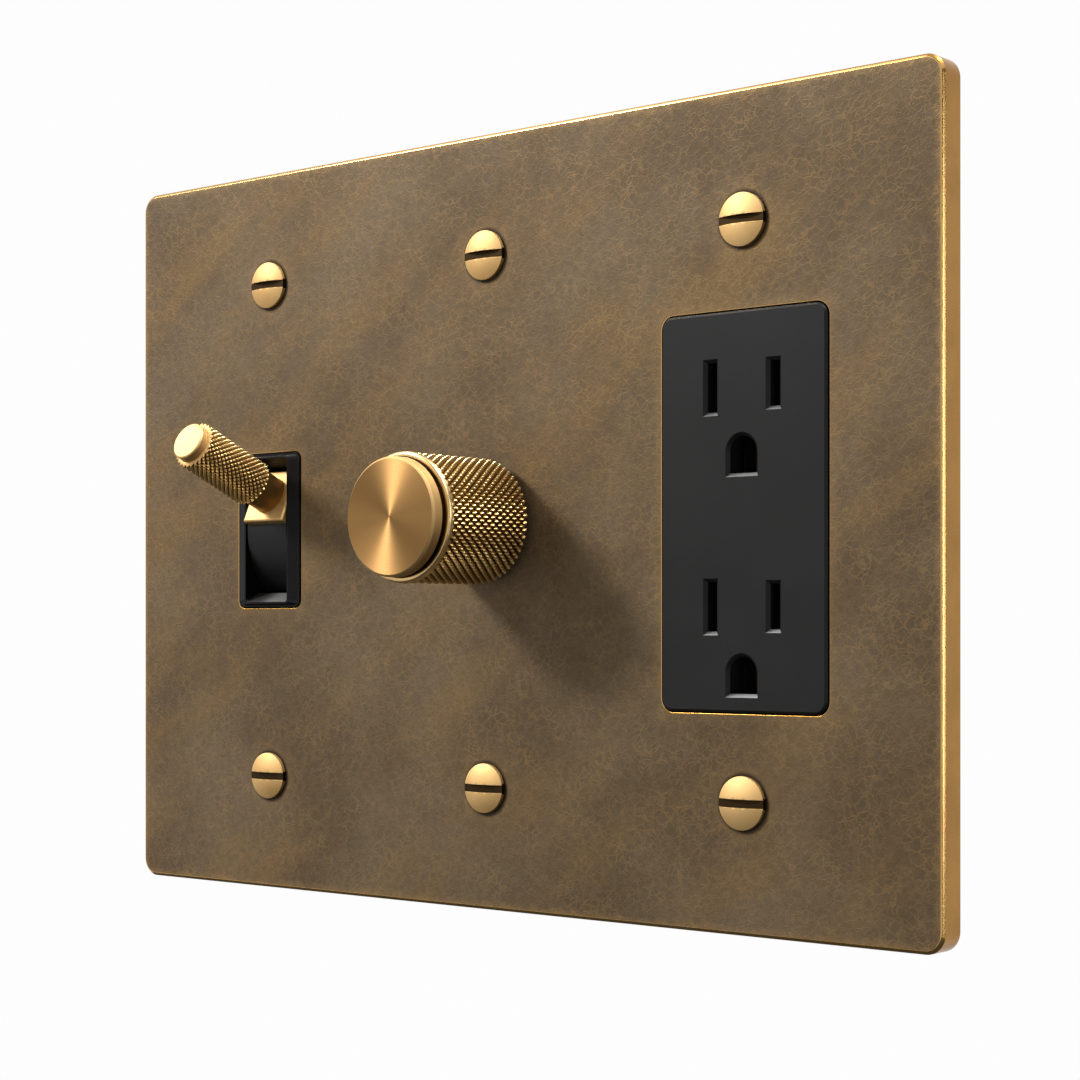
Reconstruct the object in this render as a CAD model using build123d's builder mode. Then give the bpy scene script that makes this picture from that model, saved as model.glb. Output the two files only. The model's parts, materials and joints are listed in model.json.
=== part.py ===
from build123d import *

import os
from math import cos, radians, sin

# Three-gang brass wall plate that carries a toggle switch, a rotary dimmer and a duplex receptacle.
# Millimetres, +Z up. The wall is the plane Y = 0, the origin lies behind the middle of the plate and
# the front faces -Y. Places along Y are forward distances: positive ones are in front of the wall,
# negative ones lie inside the wall boxes.

# Plate
plate_width = 190.0
plate_height = 141.0
plate_thickness = 5.0
plate_wall = 1.6
plate_rim = 6.0
plate_corner_radius = 3.5
plate_edge_chamfer = 0.5
pocket_corner_radius = 2.0
window_bevel = 0.4
gang_spacing = 57.0

# Fits
seat_gap = 0.05
shaft_gap = 0.08
window_gap = 0.25
hole_gap = 0.2
running_gap = 0.35
flange_lip = 2.0

# Plate screws
plate_screw_spacing = 96.84
plate_screw_radius = 1.7
plate_screw_length = 9.0
plate_head_radius = 4.5
plate_head_edge = 0.7
plate_head_height = 1.6
driver_slot_width = 1.4
driver_slot_depth = 0.9

# Screws that hold each strap to its wall box, and the ground screws
box_screw_spacing = 83.3
box_screw_radius = 1.75
box_neck_radius = 1.5
box_neck_length = 1.45
box_screw_length = 20.0
box_head_radius = 3.4
box_slot_length = 6.6
head_room = 0.5
ground_screw_offset = 8.0
ground_screw_gap = 3.1
ground_screw_radius = 1.6
ground_screw_length = 6.0
ground_head_radius = 3.0

# Straps and housings
strap_thickness = 1.5
strap_length = 106.0
strap_end_width = 24.0
strap_corner_radius = 3.0
ear_notch_depth = 4.5
ear_notch_width = 1.4
housing_height = 62.0
housing_wall = 2.2
housing_floor = 2.7
housing_corner_radius = 2.0
housing_back_round = 1.0
rivet_inset = 4.0
rivet_radius = 1.4
rivet_length = 7.0
rivet_head_radius = 2.5
rivet_head_height = 0.8

# Terminals
terminal_sheet = 1.2
terminal_reach = 14.0
terminal_height = 8.0
terminal_screw_radius = 1.6
terminal_screw_length = 3.0
terminal_screw_setback = 5.0
terminal_head_radius = 3.2
terminal_head_height = 1.8

# Toggle lever and drum
toggle_tilt = 24.0
pivot_depth = 10.6
pivot_pin_radius = 1.5
foot_reach = 17.0
foot_side = 11.0
foot_thickness = 4.5
foot_chamfer = 0.3
lever_length = 23.5
lever_radius = 3.75
lever_end_chamfer = 0.3
lever_stud_radius = 2.0
lever_stud_length = 7.0
neck_length = 5.2
grip_length = 16.6
grip_radius = 4.75
grip_chamfer = 0.35
drum_radius = 16.4
drum_wall = 3.0
drum_half_angle = 70.0
drum_hub_radius = 4.5
drum_boss_radius = 3.6
drum_boss_length = 12.0
spring_seat = 2.6

# Toggle bezel
bezel_width = 17.2
bezel_height = 30.2
bezel_corner_radius = 1.4
bezel_edge_proud = 0.2
bezel_border = 0.4
well_rim_proud = 1.0
well_rim_land = 0.35
well_height = 28.2
throat_height = 24.6
throat_setback = 3.6
well_back_height = 27.4
well_corner_radius = 0.5
cheek_thickness = 1.75
cheek_height = 24.0
cheek_beyond_pivot = 4.0
toggle_window_height = 31.0
toggle_housing_width = 30.0
toggle_end_wall = 8.0

# Toggle snap action
plunger_reach = 15.0
plunger_radius = 2.2
plunger_length = 7.0
plunger_tip_radius = 1.2
plunger_nose = 3.0
plunger_travel = 0.8
spring_wire_radius = 0.35
toggle_spring_turns = 4
tip_gap = 0.2
rocker_tilt = 5.0
rocker_width = 6.0
rocker_arm = 15.0
rocker_bar = 1.2
rocker_hub_radius = 2.2
rocker_pin_radius = 1.0
saddle_floor = 2.4
saddle_height = 4.3
saddle_length = 15.2
rocker_back_room = 4.2
bracket_height = 4.8
contact_arm = 13.0
contact_radius = 2.0
contact_thickness = 1.0

# Dimmer knob
knob_gap = 1.4
push_travel = 1.0
sleeve_radius = 11.5
sleeve_length = 20.9
sleeve_chamfer = 0.6
cap_radius = 10.5
cap_thickness = 2.2
cap_chamfer = 0.4
groove_width = 0.8
groove_depth = 1.0
stem_radius = 8.5
stem_setback = 3.0
set_screw_radius = 1.5
set_screw_recess = 1.2
set_screw_setback = 6.0

# Dimmer control
shaft_radius = 3.0
shaft_flat = 1.9
shaft_in_cap = 5.8
bushing_radius = 4.7
bushing_flange_radius = 7.0
bushing_flange = 2.0
bushing_proud = 0.9
washer_thickness = 0.6
washer_radius = 7.0
nut_flats = 13.0
plate_bore_gap = 0.7
pot_radius = 12.5
pot_depth = 9.5
pot_wall = 0.8
track_thickness = 1.5
rotor_radius = 10.4
rotor_disc = 2.0
rotor_hub_radius = 5.4
wiper_sheet = 0.5
wiper_ring_radius = 9.4
wiper_finger = 1.6
shaft_tail = 1.0
button_radius = 2.4
button_flange_radius = 3.8
button_flange = 1.5
switch_side = 16.0
switch_wall = 1.6
switch_depth = 10.8
return_spring_radius = 2.6
return_spring_turns = 4

# Dimmer electronics and housing
dimmer_strap_width = 44.0
dimmer_housing_width = 44.0
board_thickness = 1.6
board_gap = 0.3
board_post_radius = 2.5
board_post_inset = 5.0
board_lift = 3.4
boss_radius = 3.6
boss_length = 8.0
triac_width = 10.0
triac_height = 15.0
triac_thickness = 4.6
triac_side_inset = 0.8
triac_top_inset = 2.3
triac_lead = 0.8
triac_lead_spacing = 2.5
choke_inset = 1.6
choke_radius = 8.5
choke_bore = 4.2
choke_height = 7.0
choke_round = 1.5
capacitor_width = 16.0
capacitor_height = 8.0
capacitor_depth = 11.0
capacitor_inset = 5.5
dimmer_terminal_z = -10.0

# Receptacle
receptacle_width = 33.3
receptacle_height = 66.8
receptacle_corner_radius = 2.2
receptacle_proud = 0.5
receptacle_edge_chamfer = 0.4
blade_spacing = 12.7
upper_row_inset = 12.5
lower_row_inset = 6.2
ground_drop = 11.4
slot_width = 1.9
neutral_slot_height = 8.3
hot_slot_height = 7.5
ground_hole_width = 5.4
ground_hole_height = 6.2
slot_chamfer = 0.6
receptacle_strap_width = 38.0
receptacle_body_width = 33.0
receptacle_body_overhang = 0.6
receptacle_body_depth = 24.0
strap_window_width = 21.0
strap_window_height = 22.4
contact_channel_width = 5.8
contact_channel_depth = 20.0
contact_sheet = 0.8
leaf_sheet = 0.6
leaf_height = 7.0
leaf_top = 2.6
blade_gap = 1.7
ground_pin_gap = 4.6
ground_channel_width = 6.2
ground_strip_width = 4.0
channel_margin = 3.6
double_terminal_height = 22.0
double_screw_spacing = 12.0
assembly_screw_radius = 1.3
assembly_screw_x = 13.2
assembly_screw_inset = 5.4
assembly_screw_bite = 3.0
assembly_head_radius = 2.4
assembly_head_height = 1.4

# Values worked out from the driving dimensions
toggle_x = -gang_spacing
dimmer_x = 0.0
receptacle_x = gang_spacing
gangs = (toggle_x, dimmer_x, receptacle_x)
pocket_floor = plate_thickness - plate_wall
screw_head_height = pocket_floor - strap_thickness - head_room
plate_screw_z = plate_screw_spacing / 2
box_screw_z = box_screw_spacing / 2
rivet_z = housing_height / 2 - rivet_inset

well_width = foot_side + 2 * running_gap
well_rim = plate_thickness + well_rim_proud
throat = well_rim - throat_setback
cheek_x = (well_width + cheek_thickness) / 2
toggle_window_width = well_width + 2 * cheek_thickness + 2 * window_gap
rocker_depth = pivot_depth + plunger_reach + tip_gap + saddle_floor
toggle_cavity_depth = rocker_depth + rocker_back_room
toggle_housing_depth = toggle_cavity_depth + housing_floor
toggle_cavity_height = housing_height - 2 * toggle_end_wall

knob_back = plate_thickness + knob_gap
groove_back = knob_back + sleeve_length
cap_back = groove_back + groove_width
cap_face = cap_back + cap_thickness
stem_back = knob_back + stem_setback
shaft_front = cap_face - shaft_in_cap
pot_front = -bushing_flange
pot_back = pot_front - pot_depth
track_front = pot_back + track_thickness
rotor_front = pot_front - pot_wall - running_gap
rotor_disc_back = rotor_front - rotor_disc
rotor_back = track_front + running_gap
shaft_back = pot_back - shaft_tail
switch_front = shaft_back - push_travel - running_gap
switch_back = switch_front - switch_depth
button_front = shaft_back - seat_gap
button_shoulder = switch_front - switch_wall - running_gap
button_back = button_shoulder - button_flange
board_front = switch_back
board_back = board_front - board_thickness
dimmer_cavity_depth = -board_back + board_lift
dimmer_housing_depth = dimmer_cavity_depth + housing_floor
dimmer_cavity_width = dimmer_housing_width - 2 * housing_wall
dimmer_cavity_height = housing_height - 2 * housing_wall
board_width = dimmer_cavity_width - 2 * board_gap
board_height = dimmer_cavity_height - 2 * board_gap
triac_x = triac_side_inset + (triac_width - dimmer_cavity_width) / 2
triac_z = (dimmer_cavity_height - triac_height) / 2 - triac_top_inset
choke_x = board_width / 2 - choke_radius - choke_inset
choke_z = board_height / 2 - choke_radius - choke_inset
capacitor_z = (capacitor_height - board_height) / 2 + capacitor_inset

receptacle_front = plate_thickness + receptacle_proud
blade_x = blade_spacing / 2
receptacle_body_height = receptacle_height + 2 * receptacle_body_overhang
upper_blade_z = receptacle_height / 2 - upper_row_inset
lower_ground_z = lower_row_inset - receptacle_height / 2
blade_rows = (upper_blade_z, lower_ground_z + ground_drop)
ground_rows = (upper_blade_z - ground_drop, lower_ground_z)
outlet_spacing = blade_rows[0] - blade_rows[1]
assembly_screw_z = receptacle_height / 2 - assembly_screw_inset
ground_screw_drop = receptacle_height / 2 + ground_head_radius + ground_screw_gap
blade_middle = sum(blade_rows) / 2
contact_floor = -contact_channel_depth
contact_top = contact_floor + contact_sheet
terminal_side = terminal_sheet + window_gap

SIDES = (-1, 1)


def swing(angle):
    """Direction that points forward and is raised by an angle in degrees."""
    return Vector(0, -cos(radians(angle)), sin(radians(angle)))


def place(x, forward, z):
    """Point at a forward distance from the wall."""
    return Vector(x, -forward, z)


def front_plane(forward, x=0.0, z=0.0):
    """Plane that faces the viewer, with its X to the right and its Y up."""
    return Plane(origin=place(x, forward, z), x_dir=(1, 0, 0), z_dir=(0, -1, 0))


def swing_plane(forward, angle):
    """Plane across the toggle's axles, whose X points forward, raised by an angle, and Y points up."""
    return Plane(origin=place(toggle_x, forward, 0), x_dir=swing(angle), z_dir=(-1, 0, 0))


def pad(width, height, back, front, x=0.0, z=0.0, corner=0.0, mode=Mode.ADD):
    """Extrude a rectangle, seen from the front, between two forward distances."""
    with BuildSketch(front_plane(back, x, z)) as outline:
        if corner:
            RectangleRounded(width, height, corner)
        else:
            Rectangle(width, height)
    extrude(outline.sketch, amount=front - back, mode=mode)


def taper(back_size, back, front_size, front, x, corner, mode=Mode.ADD):
    """Loft between two rounded rectangles, seen from the front."""
    with BuildSketch(front_plane(back, x)) as start:
        RectangleRounded(*back_size, corner)
    with BuildSketch(front_plane(front, x)) as end:
        RectangleRounded(*front_size, corner)
    loft([start.sketch.face(), end.sketch.face()], ruled=True, mode=mode)


def peg(radius, back, front, x=0.0, z=0.0, mode=Mode.ADD):
    """Round pin or hole that runs forward."""
    with BuildSketch(front_plane(back, x, z)) as outline:
        Circle(radius)
    extrude(outline.sketch, amount=front - back, mode=mode)


def cross_peg(radius, start_x, end_x, forward, z=0.0, mode=Mode.ADD):
    """Round pin or hole that runs sideways."""
    across = Plane(origin=place(start_x, forward, z), x_dir=(0, 0, 1), z_dir=(1, 0, 0))
    with BuildSketch(across) as outline:
        Circle(radius)
    extrude(outline.sketch, amount=end_x - start_x, mode=mode)


def turn(outline, origin, direction, mode=Mode.ADD):
    """Revolve an outline of (radius, distance) points about an axis."""
    across = Vector(1, 0, 0)
    plane = Plane(origin=origin, x_dir=across, z_dir=across.cross(direction))
    with BuildSketch(plane) as section:
        with BuildLine():
            Polyline(*outline, close=True)
        make_face()
    revolve(section.sketch, axis=Axis(origin, direction), mode=mode)


def coil(origin, direction, length, radius, turns):
    """Open compression spring that starts at a point and runs along a direction."""
    with BuildLine() as path:
        Helix(length / turns, length, radius, center=origin, direction=direction)
    with BuildSketch(Plane(origin=path.line @ 0, z_dir=path.line % 0)) as wire:
        Circle(spring_wire_radius)
    sweep(wire.sketch, path=path.line, is_frenet=True)


def strap_blank(x, middle_width, middle_height):
    """Strap with break-off ears, plate-screw holes, box-screw slots and a ground-screw hole."""
    pad(strap_end_width, strap_length, 0, strap_thickness, x, corner=strap_corner_radius)
    pad(middle_width, middle_height, 0, strap_thickness, x)
    notch_z = (plate_screw_z + box_screw_z) / 2
    for side in SIDES:
        for notch_side in SIDES:
            notch_x = x + notch_side * (strap_end_width - ear_notch_depth) / 2
            pad(
                ear_notch_depth,
                ear_notch_width,
                0,
                strap_thickness,
                notch_x,
                side * notch_z,
                mode=Mode.SUBTRACT,
            )
        hole = plate_screw_radius + seat_gap
        peg(hole, 0, strap_thickness, x, side * plate_screw_z, Mode.SUBTRACT)
        with BuildSketch(front_plane(0, x, side * box_screw_z)) as slot:
            SlotOverall(box_slot_length, 2 * (box_screw_radius + hole_gap))
        extrude(slot.sketch, amount=strap_thickness, mode=Mode.SUBTRACT)
    ground_hole = ground_screw_radius + seat_gap
    ground_x = x + ground_screw_offset
    peg(ground_hole, 0, strap_thickness, ground_x, -ground_screw_drop, Mode.SUBTRACT)


def rivet_holes(x):
    """Holes for the two rivets that join a strap to its housing."""
    for side in SIDES:
        peg(rivet_radius + seat_gap, -rivet_length, strap_thickness, x, side * rivet_z, Mode.SUBTRACT)


def terminal(inner_x, wall_x, back, z=0.0, height=terminal_height, sheet=terminal_sheet):
    """Sheet that runs from inside a housing through its side wall and turns forward outside it."""
    side = 1 if wall_x > inner_x else -1
    tab_x = wall_x + side * (window_gap + terminal_sheet / 2)
    outer_x = wall_x + side * terminal_side
    pad(abs(outer_x - inner_x), height, back, back + sheet, (outer_x + inner_x) / 2, z)
    pad(terminal_sheet, height, back, back + terminal_reach, tab_x, z)


def terminal_slot(wall_x, wall, side, back, z=0.0, height=terminal_height, sheet=terminal_sheet):
    """Slot in a housing's side wall that a terminal passes through."""
    middle_x = wall_x - side * wall / 2
    pad(wall, height + 2 * window_gap, back, back + sheet + window_gap, middle_x, z, mode=Mode.SUBTRACT)


def terminal_bore(radius, wall_x, side, back, z=0.0):
    """Hole across a terminal's tab, or in the wall behind it, for the terminal screw."""
    forward = back + terminal_reach - terminal_screw_setback
    start = wall_x + side * terminal_side
    cross_peg(radius, start, start - side * terminal_screw_length, forward, z, Mode.SUBTRACT)


def terminal_screw(wall_x, side, back, z=0.0):
    """Slotted binding screw on a terminal's outer tab."""
    forward = back + terminal_reach - terminal_screw_setback
    seat_x = wall_x + side * terminal_side
    head_x = seat_x + side * terminal_head_height
    cross_peg(terminal_screw_radius, seat_x - side * terminal_screw_length, seat_x, forward, z)
    cross_peg(terminal_head_radius, seat_x, head_x, forward, z)
    cut_x = head_x - side * driver_slot_depth / 2
    cut_width = driver_slot_depth
    cut_reach = 2 * terminal_head_radius
    pad(
        cut_width, driver_slot_width, forward - cut_reach, forward + cut_reach, cut_x, z, mode=Mode.SUBTRACT
    )


# Face plate: chamfered slab, pocket in the back, a window for each device and the screw holes
with BuildPart() as face_plate:
    pad(plate_width, plate_height, 0, plate_thickness, corner=plate_corner_radius)
    front_edges = face_plate.faces().sort_by(Axis.Y)[0].outer_wire().edges()
    chamfer(front_edges, plate_edge_chamfer)
    pocket_width = plate_width - 2 * plate_rim
    pocket_height = plate_height - 2 * plate_rim
    pad(pocket_width, pocket_height, 0, pocket_floor, corner=pocket_corner_radius, mode=Mode.SUBTRACT)
    pad(
        bezel_width + 2 * window_gap,
        bezel_height + 2 * window_gap,
        pocket_floor,
        plate_thickness,
        toggle_x,
        corner=bezel_corner_radius + window_gap,
        mode=Mode.SUBTRACT,
    )
    pad(
        receptacle_width + 2 * window_gap,
        receptacle_height + 2 * window_gap,
        pocket_floor,
        plate_thickness,
        receptacle_x,
        corner=receptacle_corner_radius + window_gap,
        mode=Mode.SUBTRACT,
    )
    peg(bushing_radius + plate_bore_gap, pocket_floor, plate_thickness, dimmer_x, mode=Mode.SUBTRACT)
    window_edges = [
        edge
        for wire in face_plate.faces().sort_by(Axis.Y)[0].inner_wires()
        for edge in wire.edges()
    ]
    chamfer(window_edges, window_bevel)
    for gang in gangs:
        for side in SIDES:
            hole = plate_screw_radius + hole_gap
            peg(hole, pocket_floor, plate_thickness, gang, side * plate_screw_z, Mode.SUBTRACT)

# Dome-head plate screws with one driver slot across each head
with BuildPart() as plate_screws:
    head_top = plate_thickness + plate_head_height
    head_edge = plate_thickness + plate_head_edge
    dome_rise = plate_head_height - plate_head_edge
    dome_sphere = (plate_head_radius**2 + dome_rise**2) / (2 * dome_rise)
    dome_half = plate_head_radius / 2
    dome_side = (dome_half, head_top - dome_sphere + (dome_sphere**2 - dome_half**2) ** 0.5)
    for gang in gangs:
        for side in SIDES:
            screw_axis = Axis(place(gang, 0, side * plate_screw_z), (0, -1, 0))
            screw_plane = Plane(origin=screw_axis.position, x_dir=(1, 0, 0), z_dir=(0, 0, -1))
            with BuildSketch(screw_plane) as screw_section:
                with BuildLine():
                    Polyline(
                        (0, head_top),
                        (0, plate_thickness - plate_screw_length),
                        (plate_screw_radius, plate_thickness - plate_screw_length),
                        (plate_screw_radius, plate_thickness),
                        (plate_head_radius, plate_thickness),
                        (plate_head_radius, head_edge),
                    )
                    ThreePointArc((plate_head_radius, head_edge), dome_side, (0, head_top))
                make_face()
            revolve(axis=screw_axis)
            pad(
                3 * plate_head_radius,
                driver_slot_width,
                head_top - driver_slot_depth,
                head_top + driver_slot_depth,
                gang,
                side * plate_screw_z,
                mode=Mode.SUBTRACT,
            )

# Machine screws from each strap into its wall box, with a relieved neck under the head
with BuildPart() as box_screws:
    for gang in gangs:
        for side in SIDES:
            screw_z = side * box_screw_z
            head_top = strap_thickness + screw_head_height
            neck_back = strap_thickness - box_neck_length
            peg(box_head_radius, strap_thickness, head_top, gang, screw_z)
            peg(box_neck_radius, neck_back, strap_thickness, gang, screw_z)
            peg(box_screw_radius, neck_back - box_screw_length, neck_back, gang, screw_z)
            pad(
                3 * box_head_radius,
                driver_slot_width,
                head_top - screw_head_height / 2,
                head_top,
                gang,
                screw_z,
                mode=Mode.SUBTRACT,
            )

# Hex-washer ground screws, one beside the lower box screw of each strap
with BuildPart() as ground_screws:
    for gang in gangs:
        screw_x = gang + ground_screw_offset
        peg(ground_screw_radius, strap_thickness - ground_screw_length, strap_thickness, screw_x, -ground_screw_drop)
        with BuildSketch(front_plane(strap_thickness, screw_x, -ground_screw_drop)):
            RegularPolygon(ground_head_radius, 6)
        extrude(amount=screw_head_height)

# Rivets that hold the toggle and dimmer housings to their straps
with BuildPart() as strap_rivets:
    for gang in (toggle_x, dimmer_x):
        for side in SIDES:
            peg(rivet_radius, -rivet_length, strap_thickness, gang, side * rivet_z)
            head_top = strap_thickness + rivet_head_height
            peg(rivet_head_radius, strap_thickness, head_top, gang, side * rivet_z)

# Toggle lever, turned from square bar: the square foot, the rod and the stud that enters the drum
lever_axis = swing(toggle_tilt)
pivot = place(toggle_x, -pivot_depth, 0)
foot_face = pivot + lever_axis * foot_reach
with BuildPart() as toggle_lever:
    with BuildSketch(Plane(origin=foot_face, x_dir=(1, 0, 0), z_dir=lever_axis)):
        Rectangle(foot_side, foot_side)
    extrude(amount=-foot_thickness)
    foot_edges = toggle_lever.faces().sort_by(Axis(pivot, lever_axis))[-1].edges()
    chamfer(foot_edges, foot_chamfer)
    turn(
        [
            (0, 0),
            (lever_radius, 0),
            (lever_radius, lever_length - lever_end_chamfer),
            (lever_radius - lever_end_chamfer, lever_length),
            (0, lever_length),
        ],
        foot_face,
        lever_axis,
    )
    stud_end = -foot_thickness - lever_stud_length
    turn([(0, 0), (lever_stud_radius, 0), (lever_stud_radius, stud_end), (0, stud_end)], foot_face, lever_axis)

# Grip sleeve that is pressed on the rod
grip_end = neck_length + grip_length
grip_bore = lever_radius + seat_gap
with BuildPart() as toggle_sleeve:
    turn(
        [
            (grip_bore, neck_length),
            (grip_radius - grip_chamfer, neck_length),
            (grip_radius, neck_length + grip_chamfer),
            (grip_radius, grip_end - grip_chamfer),
            (grip_radius - grip_chamfer, grip_end),
            (grip_bore, grip_end),
        ],
        foot_face,
        lever_axis,
    )

# Drum that fills the well around the lever's foot, with a spring boss behind the pivot
lever_plane = swing_plane(-pivot_depth, toggle_tilt)
foot_seat = foot_reach - foot_thickness
with BuildPart() as toggle_drum:
    with BuildSketch(lever_plane):
        with BuildLine():
            shell = CenterArc((0, 0), drum_radius, -drum_half_angle, 2 * drum_half_angle)
            inner = CenterArc((0, 0), drum_radius - drum_wall, -drum_half_angle, 2 * drum_half_angle)
            Line(shell @ 0, inner @ 0)
            Line(shell @ 1, inner @ 1)
        make_face()
        web_reach = drum_radius - drum_wall
        with Locations((web_reach / 2, 0)):
            Rectangle(web_reach, foot_side + 2 * drum_wall)
        Circle(drum_hub_radius)
        with Locations((foot_seat + foot_thickness, 0)):
            Rectangle(2 * foot_thickness, foot_side + 2 * seat_gap, mode=Mode.SUBTRACT)
    extrude(amount=foot_side / 2, both=True)
    boss_outline = [(0, 0), (drum_boss_radius, 0), (drum_boss_radius, drum_boss_length), (0, drum_boss_length)]
    turn(boss_outline, pivot, -lever_axis)
    bore = plunger_radius + shaft_gap
    bore_outline = [(0, spring_seat), (bore, spring_seat), (bore, drum_boss_length), (0, drum_boss_length)]
    turn(bore_outline, pivot, -lever_axis, Mode.SUBTRACT)
    stud_bore = lever_stud_radius + seat_gap
    stud_seat = foot_seat - lever_stud_length - seat_gap
    stud_outline = [(0, stud_seat), (stud_bore, stud_seat), (stud_bore, foot_seat), (0, foot_seat)]
    turn(stud_outline, pivot, lever_axis, Mode.SUBTRACT)
    drum_side = toggle_x + foot_side / 2
    cross_peg(pivot_pin_radius + shaft_gap, drum_side - foot_side, drum_side, -pivot_depth, mode=Mode.SUBTRACT)

# Bezel: flange behind the plate, sloped frame in front, tapered well and two cheeks for the pivot pin
with BuildPart() as toggle_bezel:
    bezel_edge = plate_thickness + bezel_edge_proud
    pad(
        bezel_width + 2 * flange_lip,
        bezel_height + 2 * flange_lip,
        strap_thickness,
        pocket_floor,
        toggle_x,
        corner=bezel_corner_radius,
    )
    pad(bezel_width, bezel_height, strap_thickness, bezel_edge, toggle_x, corner=bezel_corner_radius)
    taper(
        (bezel_width - 2 * bezel_border, bezel_height - 2 * bezel_border),
        bezel_edge,
        (well_width + 2 * well_rim_land, well_height + 2 * well_rim_land),
        well_rim,
        toggle_x,
        well_corner_radius + well_rim_land,
    )
    taper(
        (well_width, throat_height),
        throat,
        (well_width, well_height),
        well_rim,
        toggle_x,
        well_corner_radius,
        Mode.SUBTRACT,
    )
    taper(
        (well_width, well_back_height),
        strap_thickness,
        (well_width, throat_height),
        throat,
        toggle_x,
        well_corner_radius,
        Mode.SUBTRACT,
    )
    cheek_back = -pivot_depth - cheek_beyond_pivot
    for side in SIDES:
        pad(cheek_thickness, cheek_height, cheek_back, strap_thickness, toggle_x + side * cheek_x)
    cheek_outer = cheek_x + cheek_thickness / 2
    pin_hole = pivot_pin_radius + seat_gap
    cross_peg(pin_hole, toggle_x - cheek_outer, toggle_x + cheek_outer, -pivot_depth, mode=Mode.SUBTRACT)

# Pivot pin through the cheeks and the drum
with BuildPart() as toggle_pivot_pin:
    cross_peg(pivot_pin_radius, toggle_x - cheek_outer, toggle_x + cheek_outer, -pivot_depth)

# Plunger behind the drum: round nose, tapered neck and a body that slides in the boss
plunger_back = plunger_reach - plunger_length
with BuildPart() as toggle_plunger:
    nose_centre = plunger_reach - plunger_tip_radius
    nose_axis = Axis(pivot, -lever_axis)
    with BuildSketch(Plane(origin=pivot, x_dir=(1, 0, 0), z_dir=Vector(1, 0, 0).cross(-lever_axis))):
        with BuildLine():
            Polyline(
                (0, plunger_reach),
                (0, plunger_back),
                (plunger_radius, plunger_back),
                (plunger_radius, plunger_reach - plunger_nose),
                (plunger_tip_radius, nose_centre),
            )
            CenterArc((0, nose_centre), plunger_tip_radius, 0, 90)
        make_face()
    revolve(axis=nose_axis)

# Spring between the drum's boss and the plunger
with BuildPart() as toggle_spring:
    spring_start = spring_seat + spring_wire_radius + seat_gap
    spring_end = plunger_back - spring_wire_radius - seat_gap
    coil(
        pivot - lever_axis * spring_start,
        -lever_axis,
        spring_end - spring_start,
        plunger_radius - 2 * spring_wire_radius,
        toggle_spring_turns,
    )

# Contact rocker: a seesaw whose saddle follows the plunger's nose with an even gap at every angle.
# The trough's radius comes from asking for that same gap at the middle and at both ends of the tilt.
nose_swing = plunger_reach - plunger_tip_radius
nose_room = plunger_tip_radius + tip_gap
end_cos, end_sin = cos(radians(rocker_tilt)), sin(radians(rocker_tilt))
trough_forward = nose_swing * cos(radians(toggle_tilt)) - (nose_swing + nose_room) - saddle_floor * (1 - end_cos)
trough_up = saddle_floor * end_sin - nose_swing * sin(radians(toggle_tilt))
trough_radius = (nose_room**2 - trough_forward**2 - trough_up**2) / (
    2 * (trough_forward * end_cos + trough_up * end_sin + nose_room)
)
rocker_plane = swing_plane(-rocker_depth, -rocker_tilt)
bar_back = saddle_floor - rocker_bar
with BuildPart() as toggle_rocker:
    with BuildSketch(rocker_plane):
        with Locations((bar_back + rocker_bar / 2, 0)):
            Rectangle(rocker_bar, 2 * rocker_arm)
        with Locations((bar_back + saddle_height / 2, 0)):
            Rectangle(saddle_height, saddle_length)
        Circle(rocker_hub_radius)
        with Locations((saddle_floor + trough_radius, 0)):
            Circle(trough_radius, mode=Mode.SUBTRACT)
        Circle(rocker_pin_radius + shaft_gap, mode=Mode.SUBTRACT)
    extrude(amount=rocker_width / 2, both=True)

# Contact button on the back of the rocker's lower arm
moving_seat = rocker_plane.from_local_coords((bar_back, -contact_arm, 0))
with BuildPart() as moving_contact:
    with BuildSketch(Plane(origin=moving_seat, x_dir=(1, 0, 0), z_dir=-rocker_plane.x_dir)):
        Circle(contact_radius)
    extrude(amount=contact_thickness)

# Line terminal: bracket that holds the rocker's pin, and a sheet out to the left side
toggle_back = -toggle_cavity_depth
toggle_wall_x = toggle_housing_width / 2
bracket_x = rocker_width / 2 + running_gap + terminal_sheet / 2
bracket_outer = bracket_x + terminal_sheet / 2
bracket_front = -rocker_depth + bracket_height / 2
with BuildPart() as line_terminal:
    terminal(toggle_x + bracket_outer, toggle_x - toggle_wall_x, toggle_back)
    for side in SIDES:
        pad(terminal_sheet, bracket_height, toggle_back, bracket_front, toggle_x + side * bracket_x)
    pin_hole = rocker_pin_radius + seat_gap
    cross_peg(pin_hole, toggle_x - bracket_outer, toggle_x + bracket_outer, -rocker_depth, mode=Mode.SUBTRACT)
    terminal_bore(terminal_screw_radius + seat_gap, toggle_x - toggle_wall_x, -1, toggle_back)

# Pin that carries the rocker between the bracket's ears
with BuildPart() as rocker_pin:
    cross_peg(rocker_pin_radius, toggle_x - bracket_outer, toggle_x + bracket_outer, -rocker_depth)

# Load terminal: sheet under the rocker's lower arm, out to the right side
load_z = moving_seat.Z
with BuildPart() as load_terminal:
    terminal(toggle_x - terminal_height / 2, toggle_x + toggle_wall_x, toggle_back, load_z)
    terminal_bore(terminal_screw_radius + seat_gap, toggle_x + toggle_wall_x, 1, toggle_back, load_z)

# Fixed contact button on the load terminal, just clear of the closed moving contact
closed_face = moving_seat.Y + contact_thickness * end_cos + contact_radius * end_sin
with BuildPart() as fixed_contact:
    peg(contact_radius, toggle_back + terminal_sheet, -closed_face - seat_gap, toggle_x, load_z)

with BuildPart() as toggle_terminal_screws:
    terminal_screw(toggle_x - toggle_wall_x, -1, toggle_back)
    terminal_screw(toggle_x + toggle_wall_x, 1, toggle_back, load_z)

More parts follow.
